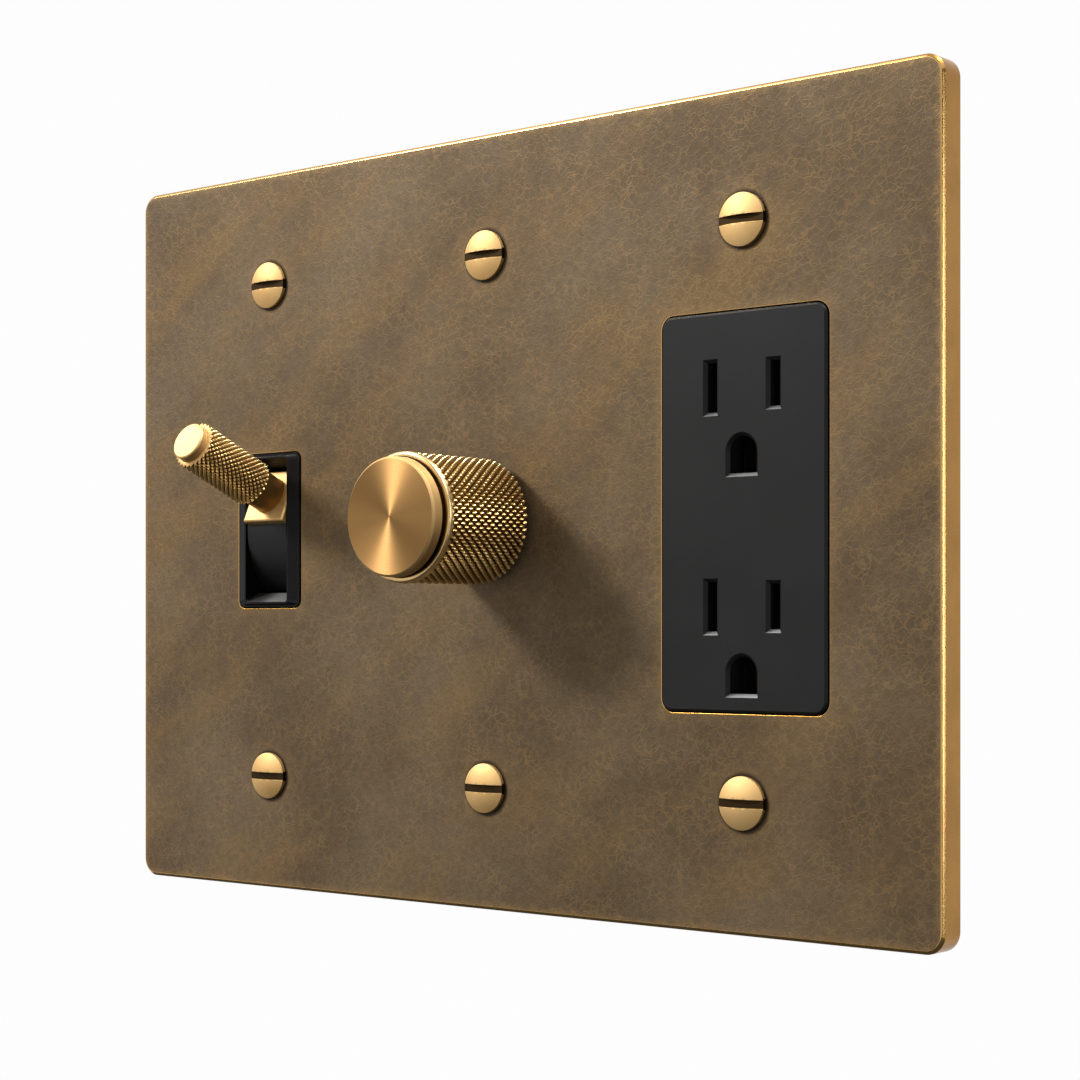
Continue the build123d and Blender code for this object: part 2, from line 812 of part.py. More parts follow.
with BuildPart() as toggle_strap:
    strap_blank(toggle_x, toggle_housing_width, housing_height)
    pad(
        toggle_window_width, toggle_window_height, 0, strap_thickness, toggle_x, mode=Mode.SUBTRACT
    )
    rivet_holes(toggle_x)

# Moulded housing behind the toggle's strap, with slots and screw holes for the terminals
with BuildPart() as toggle_housing:
    pad(
        toggle_housing_width,
        housing_height,
        -toggle_housing_depth,
        0,
        toggle_x,
        corner=housing_corner_radius,
    )
    fillet(toggle_housing.faces().sort_by(Axis.Y)[-1].edges(), housing_back_round)
    cavity_width = toggle_housing_width - 2 * housing_wall
    pad(cavity_width, toggle_cavity_height, toggle_back, 0, toggle_x, mode=Mode.SUBTRACT)
    rivet_holes(toggle_x)
    wall_bore = terminal_screw_radius + hole_gap
    for side, z in ((-1, 0), (1, load_z)):
        wall_x = toggle_x + side * toggle_wall_x
        terminal_slot(wall_x, housing_wall, side, toggle_back, z)
        terminal_bore(wall_bore, wall_x, side, toggle_back, z)

# Dimmer knob: a grip sleeve on a stem, closed by a spun cap with a groove behind it
knob_axis = Vector(0, -1, 0)
dimmer_centre = place(dimmer_x, 0, 0)
set_screw_forward = stem_back + set_screw_setback
set_screw_plane = Plane(origin=place(dimmer_x, set_screw_forward, 0), x_dir=(1, 0, 0), z_dir=(0, 0, -1))
with BuildPart() as knob_sleeve:
    turn(
        [
            (stem_radius + seat_gap, knob_back),
            (sleeve_radius - sleeve_chamfer, knob_back),
            (sleeve_radius, knob_back + sleeve_chamfer),
            (sleeve_radius, groove_back - sleeve_chamfer),
            (sleeve_radius - sleeve_chamfer, groove_back),
            (stem_radius + seat_gap, groove_back),
        ],
        dimmer_centre,
        knob_axis,
    )
    with BuildSketch(set_screw_plane):
        Circle(set_screw_radius + seat_gap)
    extrude(amount=sleeve_radius, mode=Mode.SUBTRACT)

with BuildPart() as knob_cap:
    shaft_seat = shaft_radius + seat_gap
    turn(
        [
            (shaft_seat, stem_back),
            (stem_radius, stem_back),
            (stem_radius, groove_back),
            (cap_radius - groove_depth, groove_back),
            (cap_radius - groove_depth, cap_back),
            (cap_radius, cap_back),
            (cap_radius, cap_face - cap_chamfer),
            (cap_radius - cap_chamfer, cap_face),
            (0, cap_face),
            (0, shaft_front + seat_gap),
            (shaft_seat, shaft_front + seat_gap),
        ],
        dimmer_centre,
        knob_axis,
    )
    with BuildSketch(set_screw_plane):
        Circle(set_screw_radius + seat_gap)
    extrude(amount=sleeve_radius, mode=Mode.SUBTRACT)

with BuildPart() as knob_set_screw:
    with BuildSketch(set_screw_plane.offset(shaft_seat)):
        Circle(set_screw_radius)
    extrude(amount=sleeve_radius - set_screw_recess - shaft_seat)

# Shaft with a flat along the part that slides in the rotor
with BuildPart() as dimmer_shaft:
    peg(shaft_radius, shaft_back, shaft_front, dimmer_x)
    flat_front = rotor_front + push_travel
    pad(
        2 * shaft_radius,
        shaft_radius - shaft_flat,
        shaft_back,
        flat_front,
        dimmer_x,
        (shaft_radius + shaft_flat) / 2,
        mode=Mode.SUBTRACT,
    )

with BuildPart() as dimmer_bushing:
    peg(bushing_flange_radius, -bushing_flange, 0, dimmer_x)
    peg(bushing_radius, 0, plate_thickness + bushing_proud, dimmer_x)
    shaft_bore = shaft_radius + shaft_gap
    peg(shaft_bore, -bushing_flange, plate_thickness + bushing_proud, dimmer_x, mode=Mode.SUBTRACT)

washer_front = strap_thickness + washer_thickness
with BuildPart() as dimmer_washer:
    peg(washer_radius, strap_thickness, washer_front, dimmer_x)
    peg(bushing_radius + seat_gap, strap_thickness, washer_front, dimmer_x, mode=Mode.SUBTRACT)

with BuildPart() as dimmer_nut:
    nut_front = pocket_floor - hole_gap
    with BuildSketch(front_plane(washer_front, dimmer_x)):
        RegularPolygon(nut_flats / 2, 6, major_radius=False)
        Circle(bushing_radius + seat_gap, mode=Mode.SUBTRACT)
    extrude(amount=nut_front - washer_front)

# Control behind the strap: cup, resistance track, and a rotor that carries the wiper
with BuildPart() as dimmer_pot_case:
    peg(pot_radius, pot_back, pot_front, dimmer_x)
    peg(pot_radius - pot_wall, pot_back, pot_front - pot_wall, dimmer_x, mode=Mode.SUBTRACT)
    peg(shaft_radius + running_gap, pot_front - pot_wall, pot_front, dimmer_x, mode=Mode.SUBTRACT)

with BuildPart() as dimmer_track:
    peg(pot_radius - pot_wall - seat_gap, pot_back, track_front, dimmer_x)
    peg(shaft_radius + running_gap, pot_back, track_front, dimmer_x, mode=Mode.SUBTRACT)

with BuildPart() as dimmer_rotor:
    peg(rotor_radius, rotor_disc_back, rotor_front, dimmer_x)
    peg(rotor_hub_radius, rotor_back, rotor_disc_back, dimmer_x)
    with BuildSketch(front_plane(rotor_back, dimmer_x)):
        Circle(shaft_radius + shaft_gap)
        flat_gap = shaft_flat + shaft_gap
        with Locations((0, flat_gap + shaft_radius)):
            Rectangle(4 * shaft_radius, 2 * shaft_radius, mode=Mode.SUBTRACT)
    extrude(amount=rotor_front - rotor_back, mode=Mode.SUBTRACT)

with BuildPart() as dimmer_wiper:
    wiper_back = rotor_disc_back - wiper_sheet
    peg(wiper_ring_radius, wiper_back, rotor_disc_back, dimmer_x)
    peg(rotor_hub_radius + seat_gap, wiper_back, rotor_disc_back, dimmer_x, mode=Mode.SUBTRACT)
    finger_z = (wiper_ring_radius + rotor_hub_radius) / 2
    pad(wiper_finger, wiper_sheet, track_front + shaft_gap, wiper_back, dimmer_x, finger_z)

# Push switch in line with the shaft: case, button and return spring
with BuildPart() as dimmer_switch:
    pad(switch_side, switch_side, switch_back, switch_front, dimmer_x)
    switch_room = button_flange_radius + running_gap
    peg(switch_room, switch_back + switch_wall, switch_front - switch_wall, dimmer_x, mode=Mode.SUBTRACT)
    peg(button_radius + shaft_gap, switch_front - switch_wall, switch_front, dimmer_x, mode=Mode.SUBTRACT)

with BuildPart() as dimmer_push_button:
    peg(button_radius, button_shoulder, button_front, dimmer_x)
    peg(button_flange_radius, button_back, button_shoulder, dimmer_x)

with BuildPart() as dimmer_return_spring:
    spring_front = button_back - spring_wire_radius - seat_gap
    spring_back = switch_back + switch_wall + spring_wire_radius + seat_gap
    coil(
        place(dimmer_x, spring_back, 0),
        knob_axis,
        spring_front - spring_back,
        return_spring_radius,
        return_spring_turns,
    )

# Electronics on one board behind the control
with BuildPart() as dimmer_board:
    pad(board_width, board_height, board_back, board_front, dimmer_x)

with BuildPart() as dimmer_triac:
    pad(triac_width, triac_height, -triac_thickness, 0, dimmer_x + triac_x, triac_z)
    lead_z = triac_z - triac_height / 2 - triac_lead / 2
    for lead in (-1, 0, 1):
        lead_x = dimmer_x + triac_x + lead * triac_lead_spacing
        pad(triac_lead, triac_lead, board_front, -triac_thickness / 2, lead_x, lead_z)

with BuildPart() as dimmer_choke:
    turn(
        [
            (choke_bore, choke_round),
            (choke_bore + choke_round, 0),
            (choke_radius - choke_round, 0),
            (choke_radius, choke_round),
            (choke_radius, choke_height - choke_round),
            (choke_radius - choke_round, choke_height),
            (choke_bore + choke_round, choke_height),
            (choke_bore, choke_height - choke_round),
        ],
        place(dimmer_x + choke_x, board_front, choke_z),
        knob_axis,
    )

with BuildPart() as dimmer_capacitor:
    capacitor_front = board_front + capacitor_depth
    pad(capacitor_width, capacitor_height, board_front, capacitor_front, dimmer_x, capacitor_z)
    fillet(dimmer_capacitor.faces().sort_by(Axis.Y)[0].edges(), choke_round)

dimmer_wall_x = dimmer_housing_width / 2
terminal_back = board_back - terminal_sheet
with BuildPart() as dimmer_terminals:
    for side in SIDES:
        inner_x = dimmer_x + side * (board_width / 2 - terminal_height)
        wall_x = dimmer_x + side * dimmer_wall_x
        terminal(inner_x, wall_x, terminal_back, dimmer_terminal_z)
        terminal_bore(terminal_screw_radius + seat_gap, wall_x, side, terminal_back, dimmer_terminal_z)

with BuildPart() as dimmer_terminal_screws:
    for side in SIDES:
        terminal_screw(dimmer_x + side * dimmer_wall_x, side, terminal_back, dimmer_terminal_z)

with BuildPart() as dimmer_strap:
    strap_blank(dimmer_x, dimmer_strap_width, housing_height)
    peg(bushing_radius + seat_gap, 0, strap_thickness, dimmer_x, mode=Mode.SUBTRACT)
    rivet_holes(dimmer_x)

# Housing behind the dimmer's strap, with rivet bosses and posts under the board
with BuildPart() as dimmer_housing:
    pad(
        dimmer_housing_width,
        housing_height,
        -dimmer_housing_depth,
        0,
        dimmer_x,
        corner=housing_corner_radius,
    )
    fillet(dimmer_housing.faces().sort_by(Axis.Y)[-1].edges(), housing_back_round)
    pad(dimmer_cavity_width, dimmer_cavity_height, -dimmer_cavity_depth, 0, dimmer_x, mode=Mode.SUBTRACT)
    post_x = board_width / 2 - board_post_inset
    post_z = board_height / 2 - board_post_inset
    for side_x in SIDES:
        for side_z in SIDES:
            peg(board_post_radius, -dimmer_cavity_depth, board_back, dimmer_x + side_x * post_x, side_z * post_z)
    for side in SIDES:
        boss_reach = dimmer_cavity_height / 2 - rivet_z
        peg(boss_radius, -boss_length, 0, dimmer_x, side * rivet_z)
        boss_z = side * (rivet_z + boss_reach / 2)
        pad(2 * boss_radius, boss_reach, -boss_length, 0, dimmer_x, boss_z)
    rivet_holes(dimmer_x)
    for side in SIDES:
        wall_x = dimmer_x + side * dimmer_wall_x
        terminal_slot(wall_x, housing_wall, side, terminal_back, dimmer_terminal_z)
        terminal_bore(wall_bore, wall_x, side, terminal_back, dimmer_terminal_z)


def plug_holes(front, grow=0.0):
    """Outlines of the blade slots and ground holes of both outlets, on a plane that faces the viewer."""
    with BuildSketch(front_plane(front, receptacle_x)) as holes:
        for row, ground_row in zip(blade_rows, ground_rows):
            with Locations((-blade_x, row)):
                Rectangle(slot_width + 2 * grow, neutral_slot_height + 2 * grow)
            with Locations((blade_x, row)):
                Rectangle(slot_width + 2 * grow, hot_slot_height + 2 * grow)
            arch = ground_hole_width / 2
            arch_z = ground_row + ground_hole_height / 2 - arch
            sill = ground_hole_height - arch + grow
            with Locations((0, arch_z)):
                Circle(arch + grow)
            with Locations((0, arch_z - sill / 2)):
                Rectangle(ground_hole_width + 2 * grow, sill)
    return holes.sketch


# Receptacle face with two outlets, whose slots and ground holes have chamfered entries
with BuildPart() as receptacle_face:
    pad(
        receptacle_width + 2 * flange_lip,
        receptacle_height,
        strap_thickness,
        pocket_floor,
        receptacle_x,
        corner=receptacle_corner_radius,
    )
    pad(
        receptacle_width,
        receptacle_height,
        strap_thickness,
        receptacle_front,
        receptacle_x,
        corner=receptacle_corner_radius,
    )
    chamfer(receptacle_face.faces().sort_by(Axis.Y)[0].edges(), receptacle_edge_chamfer)
    extrude(plug_holes(strap_thickness), amount=receptacle_front - strap_thickness, mode=Mode.SUBTRACT)
    entry_edges = [
        edge
        for wire in receptacle_face.faces().sort_by(Axis.Y)[0].inner_wires()
        for edge in wire.edges()
    ]
    chamfer(entry_edges, slot_chamfer)
    for side_x in SIDES:
        for side_z in SIDES:
            peg(
                assembly_screw_radius + seat_gap,
                strap_thickness,
                strap_thickness + assembly_screw_bite + seat_gap,
                receptacle_x + side_x * assembly_screw_x,
                side_z * assembly_screw_z,
                Mode.SUBTRACT,
            )

# Strap with a window behind each outlet
with BuildPart() as receptacle_strap:
    strap_blank(receptacle_x, receptacle_strap_width, receptacle_height)
    for row, ground_row in zip(blade_rows, ground_rows):
        window_z = (row + ground_row) / 2
        pad(
            strap_window_width,
            strap_window_height,
            0,
            strap_thickness,
            receptacle_x,
            window_z,
            mode=Mode.SUBTRACT,
        )
    for side_x in SIDES:
        for side_z in SIDES:
            peg(
                assembly_screw_radius + seat_gap,
                0,
                strap_thickness,
                receptacle_x + side_x * assembly_screw_x,
                side_z * assembly_screw_z,
                Mode.SUBTRACT,
            )

# Body with three channels for the contacts
receptacle_wall_x = receptacle_body_width / 2
receptacle_side_wall = receptacle_wall_x - blade_x - contact_channel_width / 2
channel_height = outlet_spacing + leaf_height + 2 * channel_margin
ground_channel_height = outlet_spacing + ground_hole_height + channel_margin
ground_middle = blade_middle - ground_drop
with BuildPart() as receptacle_body:
    pad(
        receptacle_body_width,
        receptacle_body_height,
        -receptacle_body_depth,
        0,
        receptacle_x,
        corner=housing_corner_radius,
    )
    fillet(receptacle_body.faces().sort_by(Axis.Y)[-1].edges(), housing_back_round)
    for side in SIDES:
        channel_x = receptacle_x + side * blade_x
        pad(
            contact_channel_width,
            channel_height,
            contact_floor,
            0,
            channel_x,
            blade_middle,
            mode=Mode.SUBTRACT,
        )
        wall_x = receptacle_x + side * receptacle_wall_x
        terminal_slot(
            wall_x,
            receptacle_side_wall,
            side,
            contact_floor,
            blade_middle,
            double_terminal_height,
            contact_sheet,
        )
        for screw_side in SIDES:
            screw_z = blade_middle + screw_side * double_screw_spacing / 2
            terminal_bore(wall_bore, wall_x, side, contact_floor, screw_z)
    pad(
        ground_channel_width,
        ground_channel_height,
        contact_floor,
        0,
        receptacle_x,
        ground_middle,
        mode=Mode.SUBTRACT,
    )
    for side_x in SIDES:
        for side_z in SIDES:
            peg(
                assembly_screw_radius + seat_gap,
                -receptacle_body_depth,
                0,
                receptacle_x + side_x * assembly_screw_x,
                side_z * assembly_screw_z,
                Mode.SUBTRACT,
            )


def blade_contact(side):
    """Strip with a pair of leaves for each outlet's blade and a tab for two terminal screws."""
    strip_x = receptacle_x + side * blade_x
    strip_width = contact_channel_width - 2 * running_gap
    wall_x = receptacle_x + side * receptacle_wall_x
    pad(strip_width, outlet_spacing + leaf_height, contact_floor, contact_top, strip_x, blade_middle)
    terminal(strip_x, wall_x, contact_floor, blade_middle, double_terminal_height, contact_sheet)
    for row in blade_rows:
        for leaf_side in SIDES:
            leaf_x = strip_x + leaf_side * (blade_gap + leaf_sheet) / 2
            pad(leaf_sheet, leaf_height, contact_top, -leaf_top, leaf_x, row)
    for screw_side in SIDES:
        screw_z = blade_middle + screw_side * double_screw_spacing / 2
        terminal_bore(terminal_screw_radius + seat_gap, wall_x, side, contact_floor, screw_z)


with BuildPart() as hot_contact:
    blade_contact(1)

with BuildPart() as neutral_contact:
    blade_contact(-1)

# Ground contact: a strip with two pin clips and a tongue up to the strap
with BuildPart() as ground_contact:
    pad(
        ground_strip_width,
        outlet_spacing,
        contact_floor,
        contact_top,
        receptacle_x,
        ground_middle,
    )
    for row in ground_rows:
        clip_width = ground_pin_gap + 2 * leaf_sheet
        pad(clip_width, ground_hole_height, contact_floor, contact_top, receptacle_x, row)
        for leaf_side in SIDES:
            leaf_x = receptacle_x + leaf_side * (ground_pin_gap + leaf_sheet) / 2
            pad(leaf_sheet, ground_hole_height, contact_top, -leaf_top, leaf_x, row)
    pad(ground_strip_width, contact_sheet, contact_floor, 0, receptacle_x, ground_middle)

with BuildPart() as hot_terminal_screws:
    for screw_side in SIDES:
        screw_z = blade_middle + screw_side * double_screw_spacing / 2
        terminal_screw(receptacle_x + receptacle_wall_x, 1, contact_floor, screw_z)

with BuildPart() as neutral_terminal_screws:
    for screw_side in SIDES:
        screw_z = blade_middle + screw_side * double_screw_spacing / 2
        terminal_screw(receptacle_x - receptacle_wall_x, -1, contact_floor, screw_z)

# Screws that clamp the body, the strap and the face together from behind
with BuildPart() as receptacle_screws:
    for side_x in SIDES:
        for side_z in SIDES:
            screw_x = receptacle_x + side_x * assembly_screw_x
            screw_z = side_z * assembly_screw_z
            screw_front = strap_thickness + assembly_screw_bite
            peg(assembly_screw_radius, -receptacle_body_depth, screw_front, screw_x, screw_z)
            head_back = -receptacle_body_depth - assembly_head_height
            peg(assembly_head_radius, head_back, -receptacle_body_depth, screw_x, screw_z)

pieces = {
    "face_plate": face_plate,
    "plate_screws": plate_screws,
    "box_screws": box_screws,
    "ground_screws": ground_screws,
    "strap_rivets": strap_rivets,
    "toggle_lever": toggle_lever,
    "toggle_sleeve": toggle_sleeve,
    "toggle_drum": toggle_drum,
    "toggle_bezel": toggle_bezel,
    "toggle_pivot_pin": toggle_pivot_pin,
    "toggle_plunger": toggle_plunger,
    "toggle_spring": toggle_spring,
    "toggle_rocker": toggle_rocker,
    "moving_contact": moving_contact,
    "line_terminal": line_terminal,
    "rocker_pin": rocker_pin,
    "load_terminal": load_terminal,
    "fixed_contact": fixed_contact,
    "toggle_terminal_screws": toggle_terminal_screws,
    "toggle_strap": toggle_strap,
    "toggle_housing": toggle_housing,
    "knob_sleeve": knob_sleeve,
    "knob_cap": knob_cap,
    "knob_set_screw": knob_set_screw,
    "dimmer_shaft": dimmer_shaft,
    "dimmer_bushing": dimmer_bushing,
    "dimmer_washer": dimmer_washer,
    "dimmer_nut": dimmer_nut,
    "dimmer_pot_case": dimmer_pot_case,
    "dimmer_track": dimmer_track,
    "dimmer_rotor": dimmer_rotor,
    "dimmer_wiper": dimmer_wiper,
    "dimmer_switch": dimmer_switch,
    "dimmer_push_button": dimmer_push_button,
    "dimmer_return_spring": dimmer_return_spring,
    "dimmer_board": dimmer_board,
    "dimmer_triac": dimmer_triac,
    "dimmer_choke": dimmer_choke,
    "dimmer_capacitor": dimmer_capacitor,
    "dimmer_terminals": dimmer_terminals,
    "dimmer_terminal_screws": dimmer_terminal_screws,
    "dimmer_strap": dimmer_strap,
    "dimmer_housing": dimmer_housing,
    "receptacle_face": receptacle_face,
    "receptacle_strap": receptacle_strap,
    "receptacle_body": receptacle_body,
    "hot_contact": hot_contact,
    "neutral_contact": neutral_contact,
    "ground_contact": ground_contact,
    "hot_terminal_screws": hot_terminal_screws,
    "neutral_terminal_screws": neutral_terminal_screws,
    "receptacle_screws": receptacle_screws,
}

os.makedirs("parts", exist_ok=True)
for name, piece in pieces.items():
    piece.part.label = name
    export_step(piece.part, f"parts/{name}.step")
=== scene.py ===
import json
import logging
import math
from collections.abc import Callable
from dataclasses import dataclass
from enum import Enum

import bmesh
import bpy
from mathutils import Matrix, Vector


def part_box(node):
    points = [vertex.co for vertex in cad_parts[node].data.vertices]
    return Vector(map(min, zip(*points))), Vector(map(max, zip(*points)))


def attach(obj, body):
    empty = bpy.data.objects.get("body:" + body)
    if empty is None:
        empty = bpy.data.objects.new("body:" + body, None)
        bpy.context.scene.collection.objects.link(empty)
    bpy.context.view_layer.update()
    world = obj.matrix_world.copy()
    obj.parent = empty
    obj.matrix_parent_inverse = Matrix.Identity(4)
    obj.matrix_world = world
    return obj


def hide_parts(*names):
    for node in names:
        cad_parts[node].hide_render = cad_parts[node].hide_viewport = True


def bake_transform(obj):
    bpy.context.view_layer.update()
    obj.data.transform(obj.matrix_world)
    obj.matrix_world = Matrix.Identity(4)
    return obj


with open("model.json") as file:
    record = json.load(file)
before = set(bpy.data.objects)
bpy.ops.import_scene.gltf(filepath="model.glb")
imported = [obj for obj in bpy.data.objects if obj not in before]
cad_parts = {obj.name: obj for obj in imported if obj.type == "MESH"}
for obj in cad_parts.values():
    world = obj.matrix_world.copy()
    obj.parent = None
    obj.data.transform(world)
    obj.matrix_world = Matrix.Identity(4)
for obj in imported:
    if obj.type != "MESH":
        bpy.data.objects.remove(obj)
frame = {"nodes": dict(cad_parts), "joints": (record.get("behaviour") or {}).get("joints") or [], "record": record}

MM = 0.001
TOUCH = 0.01 * MM
MERGE = 0.001 * MM
ORIGIN = (0.0, 0.0, 0.0)
FLAT_ANGLE = 0.5
CORNER_STRIPS = 10
COIL_EDGE = 0.05 * MM
COIL_ANGLE = 60.0
GANGS = (-57.0, 0.0, 57.0)
SIDES = (-1.0, 1.0)

log = logging.getLogger("wall_plate")


class Join(Enum):
    """Ways to combine two solids."""

    CUT = "DIFFERENCE"
    FUSE = "UNION"


class MeshPart(Enum):
    """What an edit-mode selection holds."""

    VERTEX = "VERT"
    EDGE = "EDGE"
    FACE = "FACE"


class Bench:
    """Blender's modelling operators, with the selection kept in order."""

    @staticmethod
    def clear() -> None:
        """Leave edit mode and deselect everything."""
        active = bpy.context.view_layer.objects.active
        if active is not None and active.mode != "OBJECT":
            bpy.ops.object.mode_set(mode="OBJECT")
        bpy.ops.object.select_all(action="DESELECT")

    @classmethod
    def pick(cls, obj: bpy.types.Object) -> None:
        """Make one object the only selected one.

        Args:
            obj: The object that the next operator works on.
        """
        cls.clear()
        obj.select_set(True)
        bpy.context.view_layer.objects.active = obj

    @classmethod
    def edit(cls, obj: bpy.types.Object) -> None:
        """Open one object in edit mode with nothing selected.

        Args:
            obj: The mesh to edit.
        """
        cls.pick(obj)
        bpy.ops.object.mode_set(mode="EDIT")
        bpy.ops.mesh.select_all(action="DESELECT")

    @staticmethod
    def choose(obj: bpy.types.Object, part: MeshPart, test: Callable[..., bool]) -> int:
        """Select, in edit mode, what passes a test.

        Args:
            obj: The mesh that is open in edit mode.
            part: Whether vertices, edges or faces are tested.
            test: Says of one mesh element whether it is selected.

        Returns:
            How many were selected.
        """
        bpy.ops.mesh.select_mode(type=part.value)
        bpy.ops.mesh.select_all(action="DESELECT")
        mesh = bmesh.from_edit_mesh(obj.data)
        mesh.normal_update()
        items = {MeshPart.VERTEX: mesh.verts, MeshPart.EDGE: mesh.edges, MeshPart.FACE: mesh.faces}[part]
        chosen = [item for item in items if test(item)]
        for item in chosen:
            item.select_set(True)
        mesh.select_flush_mode()
        bmesh.update_edit_mesh(obj.data)
        return len(chosen)

    @classmethod
    def settle(cls, obj: bpy.types.Object, name: str) -> bpy.types.Object:
        """Name an object and move its place, turn and scale into its mesh.

        Args:
            obj: The finished object.
            name: Its name as a piece.

        Returns:
            The same object.
        """
        cls.pick(obj)
        bpy.ops.object.transform_apply(location=True, rotation=True, scale=True)
        obj.name = name
        obj.data.name = name
        return obj

    @classmethod
    def block(cls, name: str, size: Vector, centre: Vector, corner: float = 0.0) -> bpy.types.Object:
        """Add a block whose four edges along Y may be rounded.

        Args:
            name: The block's name.
            size: Its extent along X, Y and Z.
            centre: Its middle.
            corner: The radius of the rounded edges.

        Returns:
            The new block.
        """
        cls.clear()
        bpy.ops.mesh.primitive_cube_add(size=1.0, location=centre, scale=size)
        obj = cls.settle(bpy.context.object, name)
        if corner > 0.0:
            cls.edit(obj)
            cls.choose(obj, MeshPart.EDGE, lambda e: abs((e.verts[0].co - e.verts[1].co).y) > size.y / 2)
            bpy.ops.mesh.bevel(offset=corner, segments=CORNER_STRIPS, affect="EDGES")
            cls.clear()
        return obj

    @classmethod
    def rod(cls, name: str, radius: float, depth: float, centre: Vector, sides: int = 48) -> bpy.types.Object:
        """Add a round rod along Y.

        Args:
            name: The rod's name.
            radius: Its radius.
            depth: Its length along Y.
            centre: Its middle.
            sides: How many sides its round has.

        Returns:
            The new rod.
        """
        cls.clear()
        turn = (math.pi / 2, 0.0, 0.0)
        bpy.ops.mesh.primitive_cylinder_add(
            vertices=sides, radius=radius, depth=depth, location=centre, rotation=turn
        )
        return cls.settle(bpy.context.object, name)

    @classmethod
    def combine(cls, body: bpy.types.Object, other: bpy.types.Object, join: Join) -> None:
        """Combine two objects in the first and throw the second away.

        Args:
            body: The object that stays.
            other: The shape that is taken out of it or fused with it.
            join: Which of the two is done.
        """
        cls.pick(body)
        boolean = body.modifiers.new("combine", "BOOLEAN")
        boolean.operation = join.value
        boolean.solver = "EXACT"
        boolean.object = other
        bpy.ops.object.modifier_apply(modifier=boolean.name)
        mesh = other.data
        bpy.data.objects.remove(other)
        bpy.data.meshes.remove(mesh)

    @classmethod
    def cut(cls, body: bpy.types.Object, cutter: bpy.types.Object) -> None:
        """Cut one object out of another and throw the cutter away."""
        cls.combine(body, cutter, Join.CUT)

    @classmethod
    def fuse(cls, body: bpy.types.Object, other: bpy.types.Object) -> None:
        """Make two objects one, under the first one's name."""
        cls.combine(body, other, Join.FUSE)

    @classmethod
    def round_edges(
        cls,
        obj: bpy.types.Object,
        test: Callable[..., bool],
        width: float,
        segments: int = 3,
        profile: float = 0.5,
        clamp: bool = True,
    ) -> None:
        """Bevel the edges that pass a test.

        Args:
            obj: The mesh.
            test: Says of one edge whether it is bevelled.
            width: How far the bevel reaches from the edge.
            segments: How many strips the bevel has.
            profile: How full its section is; 0.5 is round and 0.25 flat.
            clamp: Whether the bevel stops where it would meet another.
        """
        cls.edit(obj)
        if cls.choose(obj, MeshPart.EDGE, test):
            bpy.ops.mesh.bevel(
                offset=width, segments=segments, profile=profile, affect="EDGES", clamp_overlap=clamp
            )
        cls.clear()

    @classmethod
    def smooth(cls, obj: bpy.types.Object, angle: float = 35.0) -> None:
        """Shade smooth across edges that turn less than an angle, with the large faces kept flat.

        Args:
            obj: The mesh.
            angle: The limit in degrees.
        """
        cls.pick(obj)
        bpy.ops.object.shade_smooth_by_angle(angle=math.radians(angle))
        weighted = obj.modifiers.new("flat_faces", "WEIGHTED_NORMAL")
        weighted.weight = 100
        weighted.keep_sharp = True
        bpy.ops.object.modifier_apply(modifier=weighted.name)
        cls.clear()

    @classmethod
    def adopt(cls, node: str, name: str, width: float, angle: float = 25.0) -> bpy.types.Object:
        """Copy a CAD node's mesh, merge it and round its edges.

        Args:
            node: The CAD node.
            name: The new piece's name.
            width: How far the rounding reaches from each edge.
            angle: Edges that turn more than this many degrees are rounded.

        Returns:
            The new piece, which stands for the node.
        """
        obj = bpy.data.objects.new(name, frame["nodes"][node].data.copy())
        obj.data.name = name
        bpy.context.scene.collection.objects.link(obj)
        cls.edit(obj)
        bpy.ops.mesh.select_all(action="SELECT")
        bpy.ops.mesh.remove_doubles(threshold=MERGE)
        bpy.ops.mesh.dissolve_limited(angle_limit=math.radians(FLAT_ANGLE))
        cls.round_edges(obj, lambda e: e.is_manifold and e.calc_face_angle() > math.radians(angle), width, 2)
        cls.smooth(obj)
        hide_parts(node)
        return obj

    @classmethod
    def paint(cls, obj: bpy.types.Object, material: bpy.types.Material, test: Callable[..., bool]) -> None:
        """Give one more material to the faces that pass a test.

        Args:
            obj: The mesh, which already has its main material.
            material: The material of the chosen faces.
            test: Says of one face whether it takes the material.
        """
        obj.data.materials.append(material)
        cls.edit(obj)
        if cls.choose(obj, MeshPart.FACE, test):
            obj.active_material_index = len(obj.data.materials) - 1
            bpy.ops.object.material_slot_assign()
        cls.clear()


